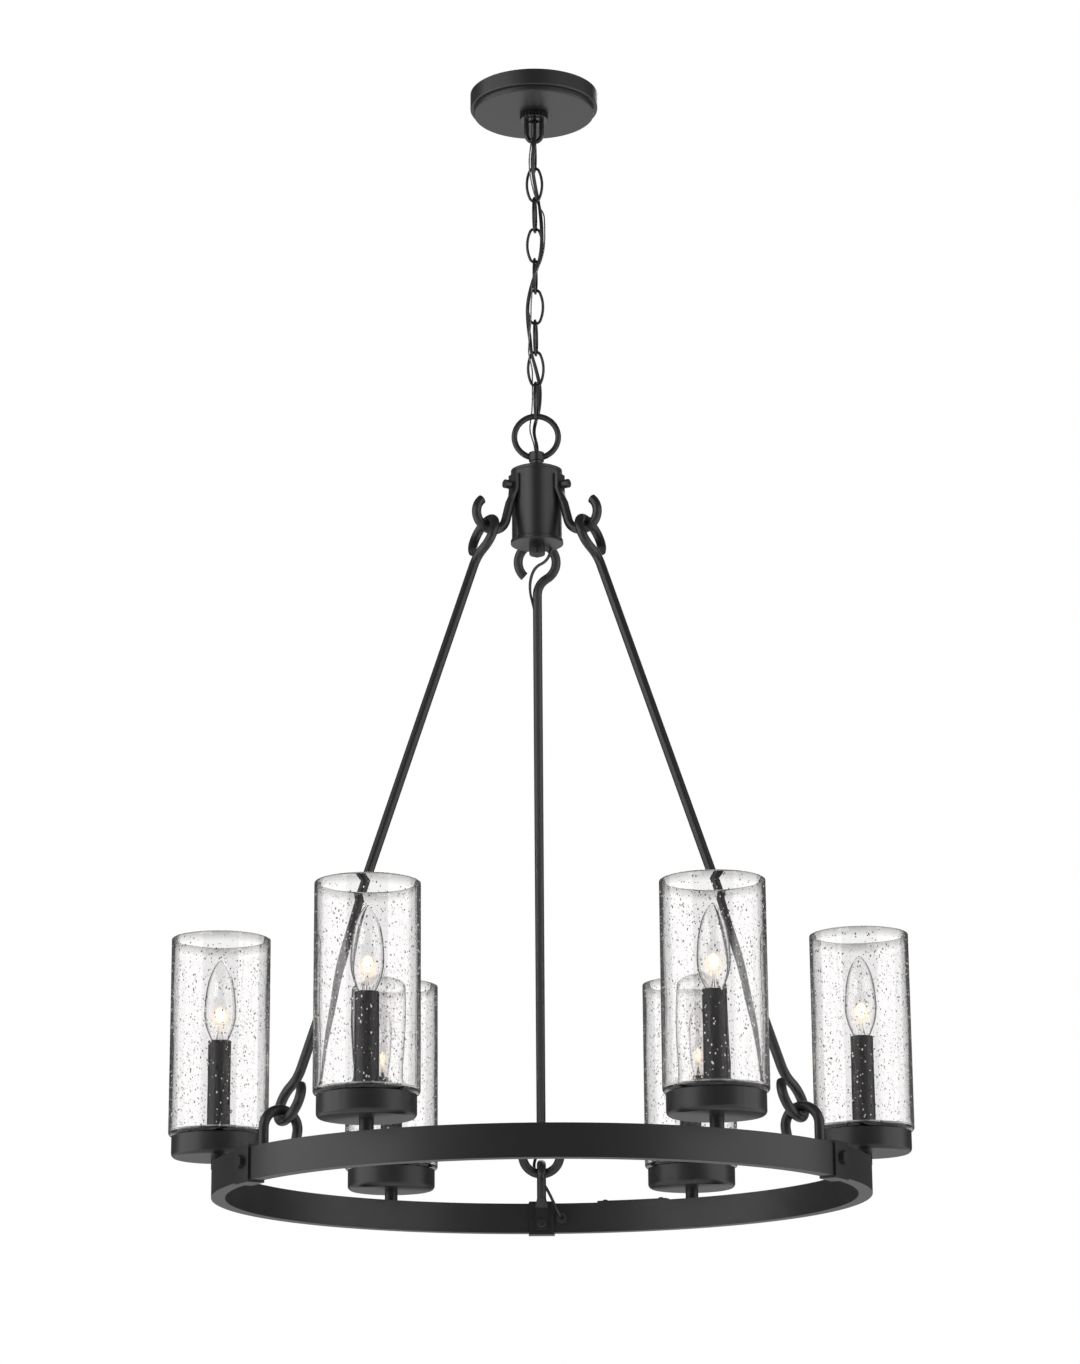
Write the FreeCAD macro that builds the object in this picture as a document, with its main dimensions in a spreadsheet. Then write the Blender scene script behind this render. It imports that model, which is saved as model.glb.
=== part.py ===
import FreeCAD, Part
import math
import os
import re
from types import SimpleNamespace

import Sketcher

# Outdoor chandelier that hangs from a ceiling box by a chain: a hub under the chain carries a ring of
# rectangular tube on three rods, and six candle lamps with glass cylinders stand on the ring.
# Millimetres, +Z up. The origin is on the ceiling plane, on the axis. Angles are counted from +X.

SIZES = [
    # Ceiling fixing
    ("canopy_radius", 69.8, "outer wall of the ceiling cover"),
    ("canopy_wall_height", 17.8, "height of that wall"),
    ("canopy_step", 3.8, "lower tier of the cover, inside that wall"),
    ("canopy_depth", 23.3, "ceiling to the flat face of the cover"),
    ("canopy_gauge", 1.2, "sheet of the cover"),
    ("canopy_round", 1.5, "rounding of its rims"),
    ("crossbar_length", 104.0, "mounting strap"),
    ("crossbar_width", 20.0, "mounting strap"),
    ("crossbar_gauge", 2.5, "mounting strap"),
    ("box_screw_spacing", 88.9, "screws of the ceiling box"),
    ("box_screw_hole", 2.4, "radius of the holes for them"),
    ("pipe_radius", 4.85, "threaded pipe, outside"),
    ("pipe_bore", 3.4, "threaded pipe, inside"),
    ("nut_flats_radius", 8.0, "lock nut, centre to corner"),
    ("nut_height", 3.0, "lock nut"),
    ("thread_gap", 0.05, "radial clearance of a thread"),
    ("seat_gap", 0.05, "two parts that rest on each other"),
    ("collar_radius", 15.5, "knurled nut under the cover"),
    ("collar_height", 6.7, "knurled nut"),
    ("collar_notch", 0.9, "depth of a notch of the knurl"),
    ("collar_notch_width", 1.9, "width of a notch of the knurl"),
    ("collar_notches", 24, "notches round the knurl"),
    ("collar_round", 0.8, "rims of the knurled nut"),
    ("loop_neck_radius", 11.0, "threaded neck of the ceiling loop"),
    ("loop_neck_height", 11.7, "threaded neck of the ceiling loop"),
    ("loop_neck_above", 1.0, "neck left showing under the knurled nut"),
    ("loop_thread_depth", 8.0, "thread for the pipe in that neck"),
    ("loop_mouth_radius", 5.6, "cord's way out of that neck"),
    ("loop_wire", 2.6, "radius of the bar of the ceiling loop"),
    ("loop_half_width", 8.2, "axis to the centre of that bar"),
    ("loop_drop", 24.2, "neck to the bottom of the loop, to the centre of the bar"),
    ("drop_clearance", 0.4, "cover's hole round the neck"),
    # Chain
    ("link_wire", 1.5, "radius of the link's wire"),
    ("link_length", 41.8, "link, outside"),
    ("link_width", 19.5, "link, outside"),
    ("link_end_radius", 5.5, "end of the link, centre of the wire"),
    ("link_count", 9, "links in the chain"),
    ("link_slit", 0.4, "butt joint of the link"),
    ("link_lag", 10.0, "degrees that every other link falls short of a quarter turn"),
    ("last_link_stretch", 4.0, "how much longer the link in the hub's ring is"),
    ("hang_gap", 0.3, "between two bars that hang in each other"),
    # Hub
    ("hub_ring_radius", 23.45, "ring on top of the hub, centre of the bar"),
    ("hub_ring_wire", 3.15, "radius of that bar"),
    ("barrel_radius", 8.15, "boss that holds the ring"),
    ("barrel_rise", 5.5, "bar to the top of the boss"),
    ("barrel_fall", 3.85, "bar to the foot of the boss"),
    ("barrel_neck_radius", 6.8, "neck under the boss"),
    ("barrel_neck_height", 3.4, "neck under the boss"),
    ("barrel_foot_radius", 10.5, "flared foot of the boss"),
    ("barrel_foot_slope", 2.2, "flare of the foot"),
    ("barrel_foot_height", 1.8, "edge of the foot"),
    ("barrel_thread_depth", 9.3, "thread for the core pipe"),
    ("hub_radius", 26.65, "hub tube, outside"),
    ("hub_wall", 1.5, "hub tube"),
    ("cap_radius", 27.5, "rim of the top cap"),
    ("cap_shoulder_radius", 24.5, "shoulder of the top cap"),
    ("cap_dome", 2.2, "rise of the cap inside its shoulder"),
    ("cap_slope", 1.4, "fall from the shoulder to the rim"),
    ("cap_rim", 3.1, "rim of the cap"),
    ("cap_cover", 1.8, "how far the rim reaches over the tube"),
    ("hub_height", 77.2, "tube between the caps"),
    ("foot_cap_radius", 28.0, "rim of the bottom cap"),
    ("foot_cap_rim", 4.6, "rim of the bottom cap"),
    ("foot_cap_gauge", 3.4, "plate of the bottom cap"),
    ("cap_round", 0.8, "rims of the caps"),
    ("cord_exit_x", 14.6, "cord's hole in the bottom cap"),
    ("cord_exit_y", 16.2, "cord's hole in the bottom cap"),
    ("cord_exit_radius", 2.0, "cord's hole in the bottom cap"),
    ("finial_radius", 8.4, "nut under the hub"),
    ("finial_height", 11.9, "nut under the hub"),
    ("finial_round", 1.6, "its lower rim"),
    ("finial_floor", 4.0, "its closed end"),
    ("pipe_slot_width", 7.6, "slot where the cord leaves the core pipe"),
    ("pipe_slot_height", 30.0, "that slot"),
    ("pipe_slot_drop", 3.0, "cap to the top of that slot"),
    ("splice_radius", 5.0, "sleeve over the joined wires"),
    ("splice_height", 14.0, "that sleeve"),
    ("splice_x", 12.6, "place of the sleeve in the hub"),
    ("splice_y", 13.2, "place of the sleeve in the hub"),
    ("splice_drop", 41.0, "cap to the top of the sleeve"),
    # Hub hooks
    ("strap_width", 16.0, "flat top of a hub hook"),
    ("strap_gauge", 3.2, "flat top of a hub hook"),
    ("strap_gap", 0.1, "strap and the tube behind it"),
    ("strap_drop", 4.7, "cap's rim to the top of the strap"),
    ("strap_height", 17.6, "straight part of the strap"),
    ("bar_radius", 5.0, "bar of the hooks and rods"),
    ("hub_hook_radius", 18.0, "bend of a hub hook, centre of the bar"),
    ("hub_hook_reach", 55.4, "axis of the hub to the centre of that bend"),
    ("hub_hook_drop", 52.6, "cap's rim to the centre of that bend"),
    ("hub_hook_start_angle", 195.0, "where the bend begins"),
    ("hub_hook_end_angle", 410.0, "where the hook ends"),
    ("hub_hook_run", 20.0, "straight bar above the bend"),
    ("knob_drop", 17.0, "cap's rim to the fastener"),
    ("knob_radius", 4.75, "head of the fastener"),
    ("knob_length", 7.6, "head of the fastener"),
    ("knob_neck_radius", 3.4, "neck of the fastener"),
    ("knob_neck_length", 2.4, "neck of the fastener"),
    ("knob_round", 1.0, "rims of the head"),
    ("knob_shank_radius", 2.2, "screw of the fastener"),
    ("knob_shank_inside", 4.0, "screw inside the tube"),
    ("hole_clearance", 0.15, "round a screw"),
    # Rods
    ("eye_radius", 20.5, "eye of a rod, centre of the bar"),
    ("eye_bend_radius", 20.0, "reverse bend below the eye"),
    ("eye_end_angle", 228.0, "open end of the eye"),
    # Ring and what holds it
    ("frame_drop", 771.2, "top cap's rim to the underside of the ring"),
    ("ring_radius", 333.6, "ring, outside"),
    ("ring_depth", 14.0, "ring tube, radially"),
    ("ring_height", 32.0, "ring tube"),
    ("ring_wall", 1.5, "ring tube"),
    ("clamp_width", 28.0, "clamp round the tube"),
    ("clamp_gauge", 2.0, "clamp round the tube"),
    ("clamp_gap", 0.1, "clamp and tube"),
    ("frame_strap_width", 14.7, "flat foot of a ring hook"),
    ("frame_strap_gauge", 3.0, "flat foot of a ring hook"),
    ("frame_strap_low", 2.5, "underside of the ring to the foot's end"),
    ("frame_strap_high", 27.0, "underside of the ring to the foot's shoulder"),
    ("frame_hook_radius", 18.3, "bend of a ring hook, centre of the bar"),
    ("frame_hook_height", 53.4, "underside of the ring to the centre of that bend"),
    ("frame_hook_gap", 0.3, "bar of a ring hook and the clamp beside it"),
    ("frame_hook_shoulder", 37.0, "underside of the ring to the round bar"),
    ("frame_hook_end_angle", 190.0, "where that bend ends, on its free side"),
    ("frame_hook_tail", 16.0, "free leg below the bend"),
    ("rivet_height", 10.1, "underside of the ring to the rivet"),
    ("rivet_radius", 2.5, "rivet's shank"),
    ("rivet_head_radius", 5.0, "rivet's head"),
    ("rivet_head", 2.2, "rivet's head"),
    ("rivet_tail", 1.6, "rivet's tail inside the tube"),
    ("rivet_round", 1.4, "rim of the rivet's head"),
    ("bolt_height", 18.6, "underside of the ring to the hex bolt"),
    ("bolt_corner_radius", 6.8, "hex head, centre to corner"),
    ("bolt_head", 4.2, "hex head"),
    ("bolt_radius", 3.0, "bolt's shank"),
    ("bolt_shank", 4.6, "bolt's shank"),
    ("cover_angle", 14.0, "access cover, along the ring"),
    ("cover_place", 72.0, "middle of the access cover"),
    ("cover_width", 11.0, "access cover"),
    ("cover_gauge", 2.0, "access cover"),
    ("cover_screw_angle", 5.6, "middle of the cover to a screw"),
    ("cover_screw_radius", 2.6, "head of a cover screw"),
    ("cover_screw_head", 1.5, "head of a cover screw"),
    ("grommet_reach", 22.3, "grommet in the ring, beside the back rod"),
    ("grommet_height", 15.8, "underside of the ring to the grommet"),
    ("grommet_radius", 6.2, "flange of the grommet"),
    ("grommet_groove", 4.4, "waist of the grommet"),
    ("grommet_flange", 2.2, "flange of the grommet"),
    ("grommet_round", 1.0, "rim of the flange"),
    ("frame_cord_radius", 1.6, "cord from the hub to the ring"),
    ("cord_gap", 0.1, "cord in a hole"),
    ("wiring_radius", 2.0, "bundle of wires in the ring"),
    ("lead_radius", 1.5, "two wires to one lamp"),
    # Lamps
    ("lamp_offset", 1.9, "lamps outside the middle of the ring"),
    ("lamp_count", 6, "lamps"),
    ("stem_radius", 7.0, "stem under a cup"),
    ("stem_height", 11.0, "stem under a cup"),
    ("stem_thread_radius", 4.0, "thread of the stem"),
    ("stem_bore", 2.2, "wire way in the stem"),
    ("stem_thread_low", 1.4, "thread into the ring"),
    ("stem_thread_high", 6.0, "thread through the cup"),
    ("cup_radius", 47.6, "fitter cup"),
    ("cup_height", 22.0, "fitter cup"),
    ("cup_gauge", 1.5, "fitter cup"),
    ("cup_round", 5.0, "lower rim of the cup"),
    ("glass_radius", 50.8, "glass cylinder"),
    ("glass_height", 204.0, "glass cylinder"),
    ("glass_wall", 3.2, "glass cylinder"),
    ("glass_floor", 4.0, "floor of the glass"),
    ("glass_hole", 13.0, "hole in that floor"),
    ("glass_round", 4.0, "lower rim of the glass"),
    ("lock_ring_radius", 18.0, "ring that holds the glass"),
    ("lock_ring_height", 3.0, "ring that holds the glass"),
    ("sleeve_radius", 11.75, "candle sleeve"),
    ("sleeve_wall", 1.2, "candle sleeve"),
    ("sleeve_height", 118.4, "candle sleeve, from the cup's floor"),
    ("socket_foot_radius", 6.5, "foot of the lamp socket"),
    ("socket_foot_height", 6.0, "foot of the lamp socket"),
    ("socket_post_radius", 4.0, "post of the lamp socket"),
    ("socket_radius", 10.2, "lamp socket"),
    ("socket_height", 36.0, "lamp socket"),
    ("socket_below_sleeve", 2.0, "sleeve's rim to the socket's mouth"),
    ("socket_bore_depth", 26.0, "bore for the bulb"),
    ("bulb_base_radius", 5.9, "screw base of the bulb"),
    ("bulb_base_height", 24.5, "screw base of the bulb"),
    ("bulb_base_round", 1.6, "foot of the screw base"),
    ("bulb_running_gap", 0.06, "screw base in its socket"),
    ("bulb_neck_radius", 8.5, "glass of the bulb at the sleeve"),
    ("bulb_radius", 16.2, "glass of the bulb"),
    ("bulb_belly_height", 28.0, "base to the widest place"),
    ("bulb_height", 82.8, "base to the tip"),
    ("bulb_tip_radius", 2.6, "rounding of the tip"),
    ("bulb_wall", 0.9, "glass of the bulb"),
    # Cord and wire in the chain
    ("cord_radius", 2.0, "supply cord"),
    ("ground_radius", 0.8, "ground wire"),
    # Cuts
    ("overrun", 1.0, "how far a cut runs past what it cuts"),
]

doc = FreeCAD.newDocument("Chandelier")
sheet = doc.addObject("Spreadsheet::Sheet", "Sizes")
for row, (alias, value, meaning) in enumerate(SIZES, start=1):
    sheet.set("A%d" % row, meaning)
    sheet.set("B%d" % row, str(value))
    sheet.setAlias("B%d" % row, alias)
doc.recompute()
s = SimpleNamespace(**{alias: float(sheet.get(alias)) for alias, value, meaning in SIZES})

FULL_TURN = 360
SAME_PLACE = 1e-4
ROD_ANGLES = {"back": 90, "left": 210, "right": 330}
SHARE_OF_RUN = 0.45
ACROSS = FreeCAD.Vector(1, 0, 0)
TANGENT = FreeCAD.Vector(0, 1, 0)
UP = FreeCAD.Vector(0, 0, 1)


def tied(expression):
    """The expression with each alias pointing at its cell in the sheet."""
    return re.sub(r"[a-z][a-z_]+", lambda word: "Sizes." + word.group(0), expression)


def polar(radius, angle, height):
    """A point at a radius and an angle in degrees from +X."""
    turn = math.radians(angle)
    return FreeCAD.Vector(radius * math.cos(turn), radius * math.sin(turn), height)


def outward(angle):
    """The direction away from the axis at an angle in degrees from +X."""
    return polar(1, angle, 0)


def radial(radius, height):
    """A point of the radial plane, which is drawn on the XZ plane."""
    return FreeCAD.Vector(radius, 0, height)


# Heights that the pieces share, worked out from the ceiling down
Z_NECK_FOOT = -(s.canopy_depth + s.collar_height + s.loop_neck_above)
Z_LOOP = Z_NECK_FOOT - s.loop_drop
LINK_PITCH = s.link_length - 4 * s.link_wire - s.hang_gap
Z_FIRST_LINK = Z_LOOP + s.loop_wire + s.hang_gap + s.link_wire
Z_CHAIN_END = (Z_FIRST_LINK - (s.link_length - 2 * s.link_wire) - (s.link_count - 1) * LINK_PITCH
               - s.last_link_stretch)
Z_HUB_RING = Z_CHAIN_END + s.link_wire + s.hang_gap + s.hub_ring_wire - s.hub_ring_radius
Z_BARREL = Z_HUB_RING - s.hub_ring_radius
Z_CAP_TOP = (Z_BARREL - s.barrel_fall - s.barrel_neck_height - s.barrel_foot_slope
             - s.barrel_foot_height)
Z_CAP_RIM = Z_CAP_TOP - s.cap_dome - s.cap_slope - s.cap_rim
Z_TUBE_TOP = Z_CAP_RIM + s.cap_cover - s.seat_gap
Z_TUBE_FOOT = Z_TUBE_TOP - s.hub_height
Z_FOOT_CAP = Z_TUBE_FOOT - s.seat_gap - s.foot_cap_gauge
Z_RING = Z_CAP_RIM - s.frame_drop
Z_RING_TOP = Z_RING + s.ring_height
RING_INSIDE = s.ring_radius - s.ring_depth
RING_MIDDLE = s.ring_radius - s.ring_depth / 2
LAMP_CIRCLE = RING_MIDDLE + s.lamp_offset
GROMMET_ANGLE = ROD_ANGLES["back"] - math.degrees(math.asin(s.grommet_reach / RING_INSIDE))
CLAMP_INSIDE = RING_INSIDE - s.clamp_gap - s.clamp_gauge

# Centres of the two bends that a rod hangs between, in its radial plane
HUB_BEND = radial(s.hub_hook_reach, Z_CAP_RIM - s.hub_hook_drop)
FRAME_LEG = CLAMP_INSIDE - s.frame_hook_gap - s.bar_radius
FRAME_BEND = radial(FRAME_LEG - s.frame_hook_radius, Z_RING + s.frame_hook_height)


def origin_plane(body, role):
    """One of the body's own origin planes or axes."""
    for feature in body.Origin.OriginFeatures:
        if feature.Role == role:
            return feature
    raise ValueError(role)


def new_body(label):
    body = doc.addObject("PartDesign::Body", label)
    body.Label = label
    return body


def sketch_on(body, name, role):
    sketch = body.newObject("Sketcher::SketchObject", name)
    sketch.AttachmentSupport = [(origin_plane(body, role), "")]
    sketch.MapMode = "FlatFace"
    return sketch


def hold_point(sketch, line, across, up):
    """Ties the start of a line to its two distances from the sketch's origin."""
    for kind, expression, axis in (("DistanceX", across, -2), ("DistanceY", up, -1)):
        if expression == "0":
            sketch.addConstraint(Sketcher.Constraint("PointOnObject", line, 1, axis))
            continue
        start = sketch.Geometry[line].StartPoint
        rough = start.x if kind == "DistanceX" else start.y
        held = sketch.addConstraint(Sketcher.Constraint(kind, -1, 1, line, 1, rough))
        sketch.setExpression("Constraints[%d]" % held, tied(expression))


def draw_outline(sketch, corners):
    """A closed outline of straight lines whose corners are pairs of expressions."""
    first = sketch.GeometryCount
    count = len(corners)
    rough = [FreeCAD.Vector(math.cos(FULL_TURN * i / count), i + 1, 0) for i in range(count)]
    for i in range(count):
        sketch.addGeometry(Part.LineSegment(rough[i], rough[(i + 1) % count]), False)
    for i in range(count):
        following = first + (i + 1) % count
        sketch.addConstraint(Sketcher.Constraint("Coincident", first + i, 2, following, 1))
        hold_point(sketch, first + i, *corners[i])
    return first


def revolve(body, name, *outlines):
    """A revolved solid about the body's Z axis, from one or more closed outlines."""
    sketch = sketch_on(body, name + "Outline", "XZ_Plane")
    for corners in outlines:
        draw_outline(sketch, corners)
    turned = body.newObject("PartDesign::Revolution", name)
    turned.Profile = sketch
    turned.ReferenceAxis = (sketch, ["V_Axis"])
    turned.Angle = FULL_TURN
    sketch.Visibility = False
    return turned


def round_rims(body, base, corner_numbers, radius):
    """Fillets the round edges that the numbered corners of a revolved outline draw."""
    doc.recompute()
    sketch = base.Profile[0]
    wanted = [sketch.Geometry[number].StartPoint for number in corner_numbers]
    edges = []
    for number, edge in enumerate(base.Shape.Edges, start=1):
        if not isinstance(edge.Curve, Part.Circle):
            continue
        spot = (edge.Curve.Radius, edge.Curve.Center.z)
        if any(math.dist(spot, (corner.x, corner.y)) < SAME_PLACE for corner in wanted):
            edges.append("Edge%d" % number)
    fillet = body.newObject("PartDesign::Fillet", base.Name + "Round%d" % len(doc.Objects))
    fillet.Base = (base, edges)
    fillet.setExpression("Radius", tied(radius))
    return fillet


def turned(label, corners, rims=(), radius=None):
    """A sub-part turned about its own axis, with some of its rims rounded."""
    body = new_body(label)
    solid = revolve(body, label + "_turned", corners)
    if rims:
        solid = round_rims(body, solid, rims, radius)
    return body


def primitive(kind, name, expressions, place=None, direction=None):
    """A Part primitive whose sizes are tied to the sheet, at a place worked out from it."""
    solid = doc.addObject("Part::" + kind, name)
    for property_name, expression in expressions.items():
        solid.setExpression(property_name, tied(expression))
    rotation = FreeCAD.Rotation()
    if direction is not None:
        rotation = FreeCAD.Rotation(UP, direction)
    solid.Placement = FreeCAD.Placement(place or FreeCAD.Vector(), rotation)
    return solid


def cut(label, base, tools):
    """The base with every tool taken out of it."""
    result = doc.addObject("Part::Cut", label)
    result.Label = label
    result.Base = base
    if len(tools) == 1:
        result.Tool = tools[0]
    else:
        joined = doc.addObject("Part::MultiFuse", label + "_tools")
        joined.Shapes = tools
        result.Tool = joined
    return result


def shaped(label, shape, angle=0):
    """A sub-part with a shape of its own, turned about the object's axis."""
    feature = doc.addObject("Part::Feature", label)
    feature.Label = label
    feature.Shape = shape
    turn = FreeCAD.Placement(FreeCAD.Vector(), FreeCAD.Rotation(angle, 0, 0))
    feature.Placement = turn.multiply(feature.Placement)
    return feature


def copies(shape, angles, reach=0):
    """Copies of a shape moved out to a radius and turned to the angles, as separate solids."""
    placed = []
    for angle in angles:
        copy = shape.copy()
        copy.Placement = FreeCAD.Placement(
            polar(reach, angle, 0), FreeCAD.Rotation(angle, 0, 0)).multiply(copy.Placement)
        placed.append(copy)
    return Part.makeCompound(placed)


def bar_along(edges, radius):
    """A round bar of one radius along edges that meet smoothly."""
    path = Part.Wire(edges)
    first = edges[0]
    start = first.valueAt(first.FirstParameter)
    along = first.tangentAt(first.FirstParameter)
    section = Part.Wire(Part.makeCircle(radius, start, along))
    bar = path.makePipeShell([section], True, True)
    full = math.pi * radius ** 2 * path.Length
    if abs(bar.Volume / full - 1) > 0.01:
        raise ValueError("a bar holds %.4f of its section times its length" % (bar.Volume / full))
    return bar


def arc(centre, across, up, radius, start, end):
    """An arc in the plane of two directions, from one angle to another in degrees."""
    def at(angle):
        turn = math.radians(angle)
        return centre + across * (radius * math.cos(turn)) + up * (radius * math.sin(turn))
    return Part.Arc(at(start), at((start + end) / 2), at(end)).toShape()


def line(start, end):
    return Part.LineSegment(start, end).toShape()


def cord_tube(name, points, radius):
    """A cord along hand-chosen points: straight runs joined by the largest arcs that they allow."""
    points = [FreeCAD.Vector(*point) for point in points]
    edges = []
    radii = []
    here = points[0]
    for before, corner, after in zip(points, points[1:], points[2:]):
        arriving = (corner - before).normalize()
        leaving = (after - corner).normalize()
        turn = arriving.getAngle(leaving)
        reach = SHARE_OF_RUN * min(corner.distanceToPoint(before), corner.distanceToPoint(after))
        bend = reach / math.tan(turn / 2)
        radii.append(bend)
        entry = corner - arriving * reach
        leave = corner + leaving * reach
        towards = (leaving - arriving).normalize()
        centre = corner + towards * (bend / math.cos(turn / 2))
        middle = centre - towards * bend
        edges.append(line(here, entry))
        edges.append(Part.Arc(entry, middle, leave).toShape())
        here = leave
    edges.append(line(here, points[-1]))
    tube = bar_along(edges, radius)
    print("%s: bend radii in diameters, least %.1f, of %d bends; length %.1f" % (
        name, min(radii) / (2 * radius), len(radii), sum(edge.Length for edge in edges)))
    return tube


# Ceiling fixing: crossbar, pipe with its lock nuts, cover, knurled nut and loop
crossbar_blank = primitive(
    "Box", "crossbar_blank",
    {"Length": "crossbar_length", "Width": "crossbar_width", "Height": "crossbar_gauge"},
    FreeCAD.Vector(-s.crossbar_length / 2, -s.crossbar_width / 2, -s.crossbar_gauge))
crossbar_holes = [
    primitive("Cylinder", "box_screw_hole_%d" % number,
              {"Radius": "box_screw_hole", "Height": "crossbar_gauge + 2 * overrun"},
              FreeCAD.Vector(side * s.box_screw_spacing / 2, 0, -s.crossbar_gauge - s.overrun))
    for number, side in enumerate((-1, 1), start=1)]
crossbar_holes.append(
    primitive("Cylinder", "crossbar_pipe_hole",
              {"Radius": "pipe_radius + thread_gap", "Height": "crossbar_gauge + 2 * overrun"},
              FreeCAD.Vector(0, 0, -s.crossbar_gauge - s.overrun)))
cut("crossbar", crossbar_blank, crossbar_holes)

PIPE_FOOT = "canopy_depth + collar_height + loop_neck_above - loop_neck_height + loop_thread_depth"
turned("nipple", [
    ("pipe_bore", "0"),
    ("pipe_radius", "0"),
    ("pipe_radius", "-(%s) + seat_gap" % PIPE_FOOT),
    ("pipe_bore", "-(%s) + seat_gap" % PIPE_FOOT),
])

Z_NECK_TOP = Z_NECK_FOOT + s.loop_neck_height
nuts = []
for number, top in enumerate((-s.crossbar_gauge - s.seat_gap,
                              Z_NECK_TOP + s.nut_height + s.seat_gap), start=1):
    blank = primitive("Prism", "nut_blank_%d" % number,
                      {"Circumradius": "nut_flats_radius", "Height": "nut_height"},
                      FreeCAD.Vector(0, 0, top - s.nut_height))
    blank.Polygon = 6
    bore = primitive("Cylinder", "nut_bore_%d" % number,
                     {"Radius": "pipe_radius + thread_gap", "Height": "nut_height + 2 * overrun"},
                     FreeCAD.Vector(0, 0, top - s.nut_height - s.overrun))
    nuts.append(cut("nut_%d" % number, blank, [bore]))
nipple_nuts = doc.addObject("Part::Compound", "nipple_nuts")
nipple_nuts.Links = nuts

turned("canopy", [
    ("canopy_radius", "0"),
    ("canopy_radius", "-canopy_wall_height"),
    ("canopy_radius - canopy_step", "-canopy_wall_height"),
    ("canopy_radius - canopy_step", "-canopy_depth"),
    ("loop_neck_radius + drop_clearance", "-canopy_depth"),
    ("loop_neck_radius + drop_clearance", "-canopy_depth + canopy_gauge"),
    ("canopy_radius - canopy_step - canopy_gauge", "-canopy_depth + canopy_gauge"),
    ("canopy_radius - canopy_step - canopy_gauge", "-canopy_wall_height + canopy_gauge"),
    ("canopy_radius - canopy_gauge", "-canopy_wall_height + canopy_gauge"),
    ("canopy_radius - canopy_gauge", "0"),
], rims=(1, 3), radius="canopy_round")

collar = new_body("collar_nut")
collar_top = "-canopy_depth - seat_gap"
collar_solid = revolve(collar, "collar_ring", [
    ("loop_neck_radius + thread_gap", collar_top),
    ("collar_radius", collar_top),
    ("collar_radius", collar_top + " - collar_height"),
    ("loop_neck_radius + thread_gap", collar_top + " - collar_height"),
])
collar_rim = round_rims(collar, collar_solid, (1, 2), "collar_round")
notch_sketch = sketch_on(collar, "collar_notch_outline", "XY_Plane")
draw_outline(notch_sketch, [
    ("collar_radius - collar_notch", "0"),
    ("collar_radius + collar_notch", "collar_notch_width"),
    ("collar_radius + collar_notch", "-collar_notch_width"),
])
notch = collar.newObject("PartDesign::Pocket", "collar_notch_cut")
notch.Profile = notch_sketch
notch.Type = "Length"
notch.Reversed = False
notch.setExpression("Length", tied("canopy_depth + collar_height + 2 * overrun"))
notches = collar.newObject("PartDesign::PolarPattern", "collar_notches_cut")
notches.Originals = [notch]
notches.Axis = (origin_plane(collar, "Z_Axis"), [""])
notches.Angle = FULL_TURN
notches.setExpression("Occurrences", tied("collar_notches"))
collar.Tip = notches

neck = Part.makeCylinder(s.loop_neck_radius, s.loop_neck_height, radial(0, Z_NECK_FOOT))
bend_height = Z_LOOP + s.loop_half_width
loop_top = Z_NECK_FOOT + s.loop_wire
loop_bar = bar_along([
    line(radial(-s.loop_half_width, loop_top), radial(-s.loop_half_width, bend_height)),
    arc(radial(0, bend_height), ACROSS, UP, s.loop_half_width, 180, 360),
    line(radial(s.loop_half_width, bend_height), radial(s.loop_half_width, loop_top)),
], s.loop_wire)
loop_thread = Part.makeCylinder(
    s.pipe_radius + s.thread_gap, s.loop_thread_depth + s.overrun,
    radial(0, Z_NECK_TOP - s.loop_thread_depth))
loop_passage = Part.makeCylinder(
    s.loop_mouth_radius, s.loop_neck_height - s.loop_thread_depth + s.overrun,
    radial(0, Z_NECK_FOOT - s.overrun))
shaped("canopy_loop", neck.fuse(loop_bar).cut(loop_thread).cut(loop_passage).removeSplitter())


# Chain: oval links of four arcs, each with the slit of its butt joint, every other one turned
def chain_link(top, length, turn):
    half_width = s.link_width / 2 - s.link_wire
    half_length = length / 2 - s.link_wire
    end_centre = half_length - s.link_end_radius
    swing = half_width - s.link_end_radius
    side_shift = (end_centre ** 2 - swing ** 2) / (2 * swing)
    side_radius = half_width + side_shift
    lean = math.degrees(math.atan2(end_centre, side_shift))
    centre = radial(0, top - half_length)
    edges = [
        arc(centre - ACROSS * side_shift, ACROSS, UP, side_radius, -lean, lean),
        arc(centre + UP * end_centre, ACROSS, UP, s.link_end_radius, lean, 180 - lean),
        arc(centre + ACROSS * side_shift, ACROSS, UP, side_radius, 180 - lean, 180 + lean),
        arc(centre - UP * end_centre, ACROSS, UP, s.link_end_radius, 180 + lean, 360 - lean),
    ]
    link = bar_along(edges, s.link_wire)
    slit = Part.makeBox(4 * s.link_wire, 4 * s.link_wire, s.link_slit)
    slit.translate(centre + FreeCAD.Vector(
        half_width - 2 * s.link_wire, -2 * s.link_wire, -s.link_slit / 2))
    link = link.cut(slit)
    link.rotate(centre, UP, turn)
    return link


for number in range(int(s.link_count)):
    is_last = number == s.link_count - 1
    shaped("chain_link_%d" % (number + 1), chain_link(
        Z_FIRST_LINK - number * LINK_PITCH,
        s.link_length + s.last_link_stretch * is_last,
        90 - s.link_lag if number % 2 == 0 else 0))

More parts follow.
